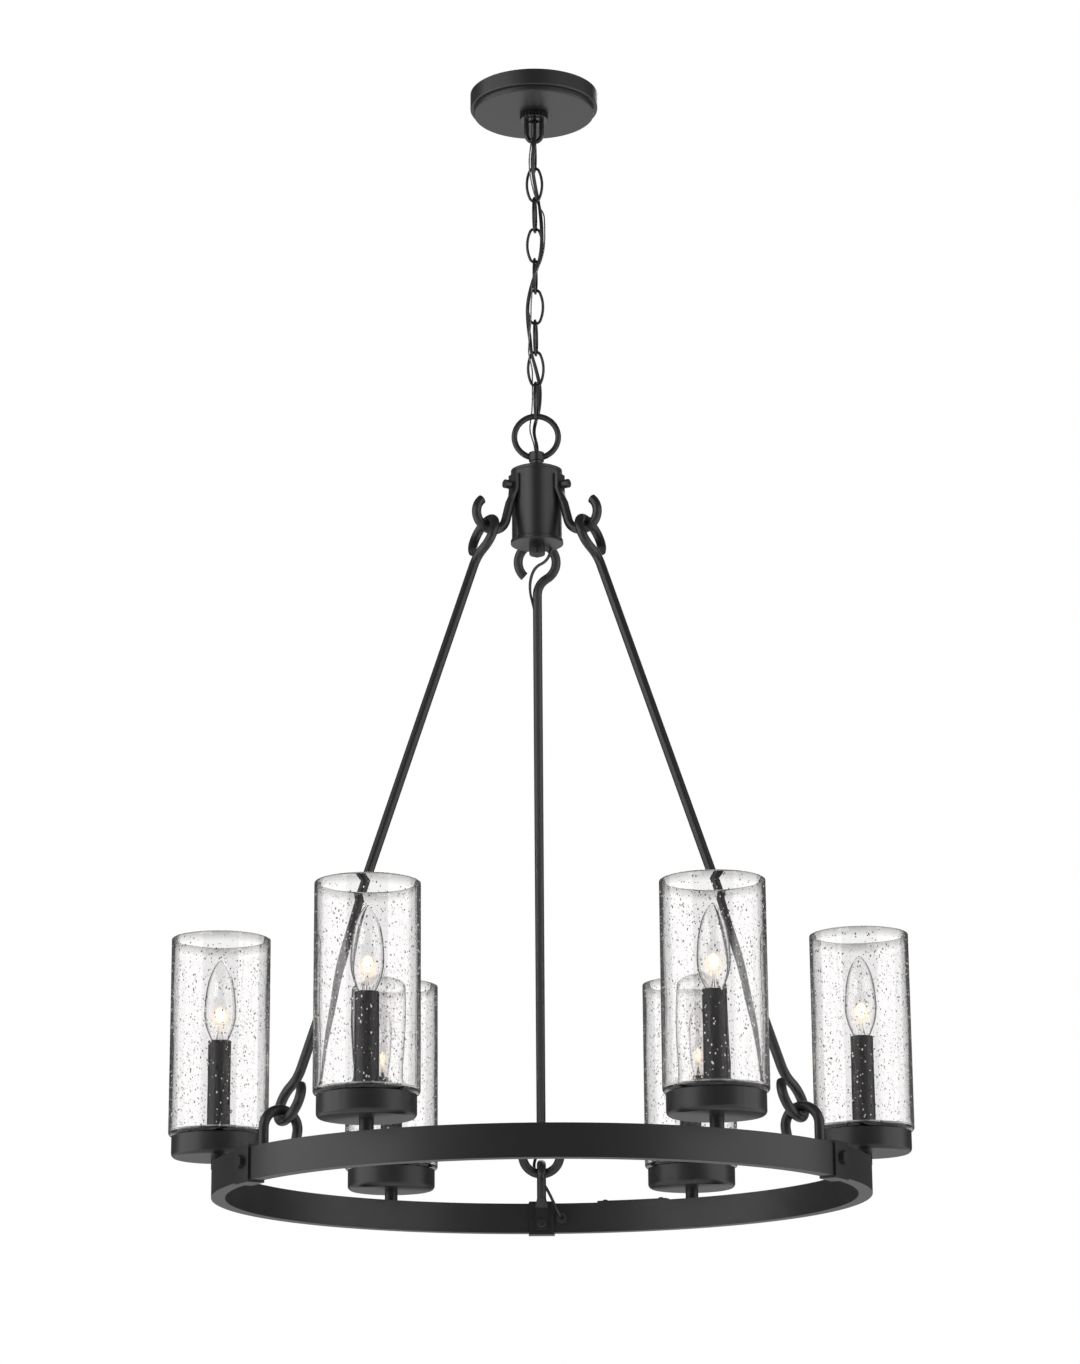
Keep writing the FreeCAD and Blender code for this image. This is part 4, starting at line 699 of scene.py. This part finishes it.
@dataclass
class Wiring:
    """The supply cord and the ground wire in the chain, and the cord from the hub to the ring."""

    supply_route: list[Point] = field(default_factory=lambda: [
        (0.9, 0, 0), (0.9, 0, -34), (0.6, -13.8, -60), (-3, -12.6, -84), (0.3, 0, -105.7),
        (5, 9, -125), (7.2, -3.6, -150), (7.8, -4.7, -177), (4.9, -5, -197), (-1.2, 0.2, -213),
        (-5, -5.2, -229), (-8.6, -4.6, -247), (-8.4, -4.6, -266), (-6, -3.4, -286),
        (-4.6, -5, -303), (0.6, 1, -320), (5, 9, -338), (3.4, 14, -362), (-3.6, 10.5, -385),
        (0.7, -0.5, -405), (0.6, -0.6, -420), (0.65, -0.55, -434), (0.6, -0.6, -447),
        (8.2, 7, -458.5), (13.4, 12.4, -468.5), (13.4, 12.4, -478.45),
    ])
    ground_route: list[Point] = field(default_factory=lambda: [
        (-2.4, 0, 0), (-2.4, 0, -34), (-2.8, -14.6, -60), (-6.4, -13.2, -84),
        (-3.3, -0.2, -105.7), (4, 13, -125), (10.4, 4.6, -138), (10.8, -3.6, -153),
        (10.8, -5.6, -178), (7.4, -7.4, -197), (-0.8, -3.8, -212), (-4.3, -6.7, -222.5),
        (-3.4, -8, -235), (-4.6, -7, -247), (-4.8, -7, -266), (-6.8, -7.4, -286), (-8, -5, -304),
        (-3.4, 0.8, -319), (-3.8, 5, -332), (-3.6, 7.6, -346), (-4.6, 9.4, -366),
        (-7.4, 7.4, -384), (-5, 4.6, -395), (-1.75, 1.65, -406), (-1.65, 1.65, -420),
        (-1.65, 1.7, -434), (-1.6, 1.75, -447), (4.2, 9.4, -459), (10.5, 15.3, -468.5),
        (10.5, 15.3, -478.45),
    ])
    frame_route: list[Point] = field(default_factory=lambda: [
        (12.6, 13.2, -492.6), (12.7, 13.4, -498.95), (14.6, 16.2, -507.45), (14.6, 16.2, -520.2),
        (9.4, 24.4, -528), (-1.8, 39.6, -528.9), (-7.3, 57, -536.06), (-8.4, 74.1, -546.71),
        (-4.5, 87.13, -557.55), (0, 95.52, -577.7), (0, 290.21, -1118.06), (-9.6, 298.6, -1136.2),
        (-4.5, 301.1, -1147.7), (6, 302.6, -1162.2), (16.2, 303.6, -1184.2),
        (21.73, 310.74, -1192.9), (22.55, 322.35, -1192.9),
    ])
    supply_width: float = 4.0
    ground_radius: float = 0.8
    frame_width: float = 3.2
    frame_thickness: float = 2.9
    frame_steps: int = 12
    ring_eye: float = -1147.7
    turns_per_metre: float = 5.5

    def build(self) -> None:
        """Builds the three cords."""
        twist = FULL_TURN * self.turns_per_metre
        made = WovenCord("supply_cord", self.supply_route,
                         twin_section(self.supply_width, self.supply_width * 0.85), PVC_JACKET,
                         "black_cord", twist).build()
        LOG.info("supply cord in %d stretches", made)
        made = WovenCord("ground_wire", self.ground_route, round_section(self.ground_radius, 12),
                         ClearJacket(), "clear_wire").build()
        LOG.info("ground wire in %d stretches", made)
        self.cord_to_ring(twist / 3)

    def cord_to_ring(self, twist: float) -> None:
        """Builds the cord along the back rod, parted at the rod's lower eye.

        Args:
            twist: Turn of the cord for each metre, in radians.
        """
        line = spline_line(self.frame_route, self.frame_steps)
        sides = side_directions(line)
        lengths = lengths_along(line)
        eye = first_below(line, self.ring_eye)
        section = twin_section(self.frame_width, self.frame_thickness)
        parts = []
        for name, first, last in (("ring_supply_cord", 0, eye),
                                  ("ring_supply_tail", eye, len(line) - 1)):
            points, faces = section_tube(line[first : last + 1], section, twist, lengths[first],
                                         sides[first : last + 1])
            part = new_mesh(name, points, faces, material_of(PVC_JACKET))
            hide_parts("frame_cord")
            parts.append(part)
        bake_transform(parts[0])
        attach(parts[1], "lamp_ring")
        LOG.info("cord to the ring, %.0f mm", lengths[-1] / MM)


@dataclass
class LampGlassware:
    """One shade: a blown cylinder with a fire-polished lip, and the air trapped in its wall."""

    number: int
    centre: Point
    radius: float = 50.8
    wall: float = 3.2
    height: float = 204.0
    floor: float = 4.0
    hole: float = 13.0
    foot_round: float = 4.0
    inside_round: float = 3.0
    lip_round: float = 1.5
    wave: float = 0.12
    waves: tuple[tuple[int, float], ...] = ((3, 31), (5, -19), (2, 47))
    steps: int = 144
    rows: int = 28
    bubbles: int = 2100
    bubble_length: tuple[float, float] = (0.45, 1.35)
    bubble_width: tuple[float, float] = (0.4, 0.8)
    bubble_cover: float = 0.2
    bubble_lean: float = 0.08
    foot_gap: float = 1
    lip_gap: float = 3
    small_share: float = 1.6

    def profile(self) -> Profile:
        """The shade's section: floor, foot, wall, lip and inside."""
        outer, inner, top = self.radius, self.radius - self.wall, self.height
        tall = top - self.foot_round - self.lip_round
        walls_up = [(outer, self.foot_round + tall * i / self.rows) for i in range(1, self.rows)]
        walls_down = [(inner, height) for radius, height in reversed(walls_up)]
        return [
            (self.hole, self.floor), (self.hole, 0),
            *rounded((outer, 0), (0, 0), (outer, top), self.foot_round),
            *walls_up,
            *rounded((outer, top), (outer, 0), (inner, top), self.lip_round),
            *rounded((inner, top), (outer, top), (inner, 0), self.lip_round),
            *walls_down,
            *rounded((inner, self.floor), (inner, top), (0, self.floor), self.inside_round),
        ]

    def build(self) -> None:
        """Builds the cylinder and its bubbles."""
        points, faces = lathe(self.profile(), self.steps, self.centre)
        rng = random.Random(100 + self.number)
        phases = [rng.uniform(0, FULL_TURN) for _ in range(4)]
        moved = []
        for x, y, z in points:
            dx, dy = x - self.centre[0] * MM, y - self.centre[1] * MM
            reach = math.hypot(dx, dy)
            turn = math.atan2(dy, dx)
            high = z / MM - self.centre[2]
            inside = self.floor + self.inside_round < high < self.height - 2 * self.lip_round
            if inside and reach < (self.radius - self.wall / 2) * MM:
                swell = sum(math.sin(lobes * turn + phase + high / rise)
                            for (lobes, rise), phase in zip(self.waves, phases))
                reach_new = reach + self.wave * swell * MM / 2
                x += dx * (reach_new / reach - 1)
                y += dy * (reach_new / reach - 1)
            moved.append((x, y, z))
        shade = new_mesh(f"seeded_glass_{self.number}", moved, faces, material_of(SeededGlass()))
        shade.visible_shadow = False
        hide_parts(f"glass_{self.number}")
        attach(shade, "lamp_ring")
        seeds = self.seeds(rng)
        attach(seeds, "lamp_ring")

    def seeds(self, rng: random.Random) -> bpy.types.Object:
        """Builds the trapped bubbles, upright beads of a few sizes inside the wall.

        Args:
            rng: The shade's own random numbers.

        Returns:
            The bubbles as one object.
        """
        bead = [Vector(p) for p in bead_points()]
        bead_faces = bead_triangles()
        middle = self.radius - self.wall / 2
        points: list[Vector] = []
        faces: list[list[int]] = []
        for _ in range(self.bubbles):
            turn = rng.uniform(0, FULL_TURN)
            high = rng.uniform(self.foot_round + self.foot_gap, self.height - self.lip_gap)
            small = rng.random() ** self.small_share
            width = self.bubble_width[0] + (self.bubble_width[1] - self.bubble_width[0]) * small
            length = self.bubble_length[0] + (self.bubble_length[1] - self.bubble_length[0]) * small
            deep = middle + rng.uniform(-1, 1) * (self.wall / 2 - width - self.bubble_cover)
            lean = rng.gauss(0, self.bubble_lean)
            along = Vector((-math.sin(turn), math.cos(turn), 0))
            out = Vector((math.cos(turn), math.sin(turn), 0))
            axis = UP * math.cos(lean) + along * math.sin(lean)
            side = along * math.cos(lean) - UP * math.sin(lean)
            start = len(points)
            heart = Vector(self.centre) + out * deep + UP * high
            points.extend(
                (heart + out * (b.x * width) + side * (b.y * width) + axis * (b.z * length)) * MM
                for b in bead)
            faces.extend([start + i for i in face] for face in bead_faces)
        return new_mesh(f"glass_seeds_{self.number}", points, faces, material_of(TrappedAir()))


def bead_points() -> list[Point]:
    """The points of a small round bead of unit radius: two poles and two rings of five."""
    points = [(0.0, 0.0, -1.0)]
    for high, shift in ((-0.45, 0.0), (0.45, 0.5)):
        reach = math.sqrt(1 - high * high)
        points += [(reach * math.cos(FULL_TURN * (i + shift) / 5),
                    reach * math.sin(FULL_TURN * (i + shift) / 5), high) for i in range(5)]
    return [*points, (0.0, 0.0, 1.0)]


def bead_triangles() -> list[list[int]]:
    """The faces of the bead."""
    faces = []
    for i in range(5):
        following = (i + 1) % 5
        faces += [[0, 1 + following, 1 + i], [1 + i, 1 + following, 6 + i],
                  [1 + following, 6 + following, 6 + i], [6 + i, 6 + following, 11]]
    return faces


@dataclass
class CandleBulb:
    """One flame-shaped candelabra bulb: envelope, glass mount, filament, glow and screw base."""

    number: int
    centre: Point
    height: float = 82.6
    wall: float = 0.7
    neck: float = 8.5
    base_radius: float = 5.9
    base_height: float = 24.5
    thread_pitch: float = 2.5
    thread_depth: float = 0.45
    thread_end: float = 3.0
    wire_height: float = 27.0
    heart_height: float = 26.0
    heart_width: float = 4.6
    shell_widths: tuple[float, ...] = (6.4, 8.6, 11.2)

    def envelope_profile(self) -> Profile:
        """The outside of the envelope, from the neck to the drawn tip."""
        return smooth_profile([
            (self.neck, 0), (11.2, 6), (14.4, 15), (16.0, 25), (15.9, 36), (14.6, 50), (12.2, 62),
            (8.4, 72.5), (4.6, 78.6), (1.9, 81.6), (0, self.height)])

    def build(self) -> None:
        """Builds the bulb's pieces, which all turn with its screw base."""
        outside = self.envelope_profile()
        inside = [(max(radius - self.wall, 0), min(height, self.height - 2 * self.wall))
                  for radius, height in reversed(outside[:-1])]
        pieces = [
            self.turned("envelope", [*outside, (0, self.height - 2 * self.wall), *inside], 48,
                        ClearGlass()),
            self.turned("glass_mount", [(0, 0), (4.2, 0), (3.6, 3), (2.0, 9), (1.5, 17), (1.9, 19.5),
                                        (1.2, 21), (0, 21.4)], 20, ClearGlass(), False),
            self.turned("glow_heart",
                        bean(self.heart_width, self.heart_width * 1.6, self.heart_height), 24,
                        GLOW_HEART, False),
            *[self.turned(f"glow_shell_{i}", bean(width, width * 1.25, self.heart_height - i), 24,
                          shell, False)
              for i, (width, shell) in enumerate(zip(self.shell_widths, GLOW_SHELLS), start=1)],
            self.base(), self.wire("filament", self.filament_line(), 0.16, HOT_WIRE),
            *[self.wire(word, [(way * 1.0, 0, 16), (way * 2.2, 0, 22),
                               (way * 3.6, 0, self.wire_height)], 0.2, NICKEL_WIRE)
              for word, way in (("lead_a", 1), ("lead_b", -1))],
        ]
        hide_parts(f"bulb_{self.number}")
        for piece in pieces:
            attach(piece, f"lamp_bulb_{self.number}")
        # All but the screw base and the wires let light through.
        for piece in pieces[:-4]:
            piece.visible_shadow = False

    def turned(self, word: str, profile: Profile, steps: int, finish: Finish,
               closed: bool = True) -> bpy.types.Object:
        """Builds one turned piece of the bulb.

        Args:
            word: What the piece is.
            profile: Its section from the bulb's shoulder.
            steps: Steps round it.
            finish: Its finish.
            closed: Whether the section's ends join.

        Returns:
            The piece.
        """
        points, faces = lathe(profile, steps, self.centre, closed)
        return new_mesh(f"bulb_{word}_{self.number}", points, faces, material_of(finish))

    def filament_line(self) -> list[Point]:
        """A hairpin of coiled wire between the leads."""
        high = self.wire_height
        rise = self.heart_height - high
        half = [(3.6, 0, high), (3.0, 0.4, high + rise * 1.6), (1.4, 0.6, high + rise * 0.7)]
        return [*half, (0, 0.4, high + rise * 2.2), *[(-x, y, z) for x, y, z in reversed(half)]]

    def wire(self, word: str, route: list[Point], radius: float, finish: Finish) -> bpy.types.Object:
        """Builds one wire of the bulb along its route."""
        placed = [(self.centre[0] + x, self.centre[1] + y, self.centre[2] + z) for x, y, z in route]
        points, faces = section_tube(spline_line(placed, 6), round_section(radius, 8))
        return new_mesh(f"bulb_{word}_{self.number}", points, faces, material_of(finish))

    def base(self) -> bpy.types.Object:
        """The screw base: a rolled thread on a thin shell, with its contact button."""
        steps, rows = 28, 48
        top, foot = -0.2, -self.base_height + 3.2
        thread_top = top - self.thread_end
        points, faces = lathe(
            [(0, -self.base_height), (1.8, -self.base_height + 0.2), (2.6, foot - 2.4),
             (4.6, foot - 0.6),
             *[(self.base_radius - self.thread_depth, foot + (thread_top - foot) * i / rows)
               for i in range(rows + 1)],
             (self.base_radius, top - 2.2), (self.neck - 0.4, top - 0.4), (0, top)], steps, self.centre,
            closed=False)
        threaded = []
        for x, y, z in points:
            dx, dy = x - self.centre[0] * MM, y - self.centre[1] * MM
            high = z / MM - self.centre[2]
            if foot <= high <= thread_top and math.hypot(dx, dy) > (self.base_radius - 1.5) * MM:
                phase = FULL_TURN * (high / self.thread_pitch) - math.atan2(dy, dx)
                swell = 1 + (0.5 + 0.5 * math.sin(phase)) * self.thread_depth / self.base_radius
                x, y = self.centre[0] * MM + dx * swell, self.centre[1] * MM + dy * swell
            threaded.append((x, y, z))
        return new_mesh(f"bulb_screw_base_{self.number}", threaded, faces, material_of(NICKEL_SHELL))


def bean(radius: float, half_height: float, middle: float, steps: int = 12) -> Profile:
    """The section of a round glow, from its foot to its top."""
    turns = [math.pi * i / steps - math.pi / 2 for i in range(steps + 1)]
    return [(0 if i in (0, steps) else radius * math.cos(t), middle + half_height * math.sin(t))
            for i, t in enumerate(turns)]


@dataclass
class Lamps:
    """The six lamps on the ring: where they stand, their shades and their bulbs."""

    count: int = 6
    circle: float = 328.5
    glass_foot: float = -1143.55
    bulb_foot: float = -1044.45

    def build(self) -> None:
        """Builds the shades and the bulbs."""
        for number in range(1, self.count + 1):
            turn = FULL_TURN * (number - 1) / self.count
            x, y = self.circle * math.cos(turn), self.circle * math.sin(turn)
            LampGlassware(number, (x, y, self.glass_foot)).build()
            CandleBulb(number, (x, y, self.bulb_foot)).build()
            LOG.info("lamp %d", number)


@dataclass
class Metalwork:
    """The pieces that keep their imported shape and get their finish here."""

    nodes: dict[str, bpy.types.Object]

    def finish_of(self, node: str) -> Finish:
        """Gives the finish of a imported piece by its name."""
        exact = {
            "collar_nut": DIPPED_ENAMEL, "canopy_loop": DIPPED_ENAMEL, "crossbar": ZINC_PLATE,
            "nipple": THREADED_PIPE, "nipple_nuts": ZINC_PLATE, "hub_core_pipe": THREADED_PIPE,
            "lock_rings": ZINC_PLATE, "candle_sleeves": CANDLE_PAINT, "lamp_sockets": PHENOLIC,
            "cord_splice": SPLICE_NYLON, "grommet": GROMMET_RUBBER, "frame_wiring": PVC_JACKET,
            "hook_rivets": PAINTED_FASTENER, "hex_bolts": PAINTED_FASTENER,
            "cover_screws": PAINTED_FASTENER,
        }
        if node.startswith("chain_link"):
            return DIPPED_ENAMEL
        return exact.get(node, POWDER_COAT)

    def build(self) -> None:
        """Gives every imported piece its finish."""
        for name, piece in self.nodes.items():
            piece.data.materials.clear()
            piece.data.materials.append(material_of(self.finish_of(name)))
        LOG.info("%d packed pieces finished", len(self.nodes))


@dataclass
class ProductCamera:
    """The photograph's viewpoint: low, in front, looking up along the chain."""

    left: float = 4.13
    distance: float = 3600.5
    below_ceiling: float = 1624.8
    lens: float = 93.55
    pitch: float = 0.2599
    yaw: float = -0.0017
    roll: float = 0.0075
    sensor: float = 36
    farthest: float = 100

    def build(self) -> None:
        """Makes the scene's camera."""
        data = bpy.data.cameras.new("camera")
        data.lens = self.lens
        data.sensor_width = self.sensor
        data.clip_end = self.farthest
        flat = Vector((-math.sin(self.yaw), math.cos(self.yaw), 0))
        right = Vector((math.cos(self.yaw), math.sin(self.yaw), 0))
        ahead = flat * math.cos(self.pitch) + UP * math.sin(self.pitch)
        up = UP * math.cos(self.pitch) - flat * math.sin(self.pitch)
        axis_x = right * math.cos(self.roll) - up * math.sin(self.roll)
        axis_y = right * math.sin(self.roll) + up * math.cos(self.roll)
        camera = add_object("camera", data)
        turn = Matrix((axis_x, axis_y, -ahead)).transposed().to_4x4()
        place = Matrix.Translation(Vector((-self.left, -self.distance, -self.below_ceiling)) * MM)
        camera.matrix_world = place @ turn
        bpy.context.scene.camera = camera


@dataclass(frozen=True)
class Softbox:
    """A rectangular studio lamp: where it stands and what it faces in metres, its sides and power."""

    name: str
    place: Point
    aim: Point
    width: float
    height: float
    watts: float

    def build(self) -> None:
        """Makes the lamp."""
        data = bpy.data.lights.new(self.name, "AREA")
        data.shape = "RECTANGLE"
        data.size = self.width
        data.size_y = self.height
        data.energy = self.watts
        lamp = add_object(self.name, data)
        lamp.location = self.place
        facing = Vector(self.aim) - Vector(self.place)
        lamp.rotation_euler = facing.to_track_quat("-Z", "Y").to_euler()


@dataclass
class Studio:
    """A white studio: pale floor, white background, lamps at both sides and none behind the camera."""

    floor_drop: float = 2600
    floor_half: float = 3000
    floor_colour: str = "#f2f2f1"
    background: str = "#ffffff"
    light_strength: float = 0.6
    mirrored_low: float = 1.15
    mirrored_high: float = 0.09
    mirrored_slope: tuple[float, float] = (-0.45, -0.1)
    softboxes: tuple[Softbox, ...] = (
        Softbox("left_softbox", (-3.3, -0.9, -0.3), (0, 0, -0.3), 4.2, 4.4, 92),
        Softbox("right_softbox", (3.3, -0.9, -0.6), (0, 0, -0.6), 4.2, 3.8, 66),
        Softbox("left_high_softbox", (-2.0, -2.75, 0.6), (0, 0, -0.4), 1.8, 0.9, 16),
        Softbox("right_high_softbox", (2.0, -2.75, 0.6), (0, 0, -0.4), 1.8, 0.9, 10),
        Softbox("back_softbox", (0.4, 3.2, 0.9), (0, 0, -0.8), 2.4, 1.4, 26),
    )

    def build(self) -> None:
        """Builds the world, the lamps and the floor."""
        bpy.context.scene.view_settings.view_transform = "Standard"
        self.world()
        self.floor()
        for softbox in self.softboxes:
            softbox.build()

    def world(self) -> None:
        """Dim round about for light and gloss above the floor line, and white for what is seen.

        A ray through glass sees the white too, unless it has been mirrored on the way.
        """
        world = bpy.data.worlds.new("studio")
        bpy.context.scene.world = world
        world.use_nodes = True
        tree = world.node_tree
        tree.nodes.clear()
        path = add_node(tree, "ShaderNodeLightPath")
        not_mirrored = add_node(tree, "ShaderNodeMath", {
            0: path.outputs["Glossy Depth"], 1: 0.5}, operation=Sum.BELOW.value)
        through_glass = add_node(tree, "ShaderNodeMath", {
            0: path.outputs["Is Transmission Ray"], 1: not_mirrored.outputs["Value"]},
            operation=Sum.TIMES.value)
        seen = add_node(tree, "ShaderNodeMath", {
            0: path.outputs["Is Camera Ray"], 1: through_glass.outputs["Value"]},
            operation=Sum.LARGER.value)
        direction = add_node(tree, "ShaderNodeTexCoord").outputs["Generated"]
        split = add_node(tree, "ShaderNodeSeparateXYZ", {"Vector": direction})
        slope = add_node(tree, "ShaderNodeMapRange", {
            "Value": split.outputs["Z"], "From Min": self.mirrored_slope[0],
            "From Max": self.mirrored_slope[1], "To Min": self.mirrored_low,
            "To Max": self.mirrored_high})
        mirror = add_node(tree, "ShaderNodeBackground", {
            "Color": linear(self.background), "Strength": slope.outputs["Result"]})
        light = add_node(tree, "ShaderNodeBackground", {
            "Color": linear(self.background), "Strength": self.light_strength})
        white = add_node(tree, "ShaderNodeBackground", {
            "Color": linear(self.background), "Strength": 1.0})
        lit = add_node(tree, "ShaderNodeMixShader", {
            0: path.outputs["Is Glossy Ray"], 1: light.outputs["Background"],
            2: mirror.outputs["Background"]})
        mixed = add_node(tree, "ShaderNodeMixShader", {
            0: seen.outputs["Value"], 1: lit.outputs["Shader"], 2: white.outputs["Background"]})
        add_node(tree, "ShaderNodeOutputWorld", {"Surface": mixed.outputs["Shader"]})

    def floor(self) -> None:
        """The pale floor far below, open from underneath."""
        half, drop = self.floor_half * MM, -self.floor_drop * MM
        material, tree = empty_material("painted_studio_floor")
        face = add_node(tree, "ShaderNodeNewGeometry")
        paint = add_node(tree, "ShaderNodeBsdfPrincipled", {
            "Base Color": linear(self.floor_colour), "Roughness": 0.9})
        gone = add_node(tree, "ShaderNodeBsdfTransparent")
        mixed = add_node(tree, "ShaderNodeMixShader", {
            0: face.outputs["Backfacing"], 1: paint.outputs["BSDF"], 2: gone.outputs["BSDF"]})
        add_node(tree, "ShaderNodeOutputMaterial", {"Surface": mixed.outputs["Shader"]})
        floor = new_mesh("floor", [(-half, -half, drop), (half, -half, drop), (half, half, drop),
                                   (-half, half, drop)], [[0, 1, 2, 3]], material)


def corners(box: Iterable[Vector]) -> list[list[float]]:
    """Turns a box of two corners to plain lists."""
    return [list(corner) for corner in box]


def main() -> None:
    """Builds the chandelier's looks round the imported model."""
    logging.basicConfig(level=logging.INFO, format="%(name)s: %(message)s")
    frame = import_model()
    ProductCamera().build()
    Wiring().build()
    Metalwork(frame["nodes"]).build()
    Lamps().build()
    Studio().build()


if __name__ == "__main__":
    main()
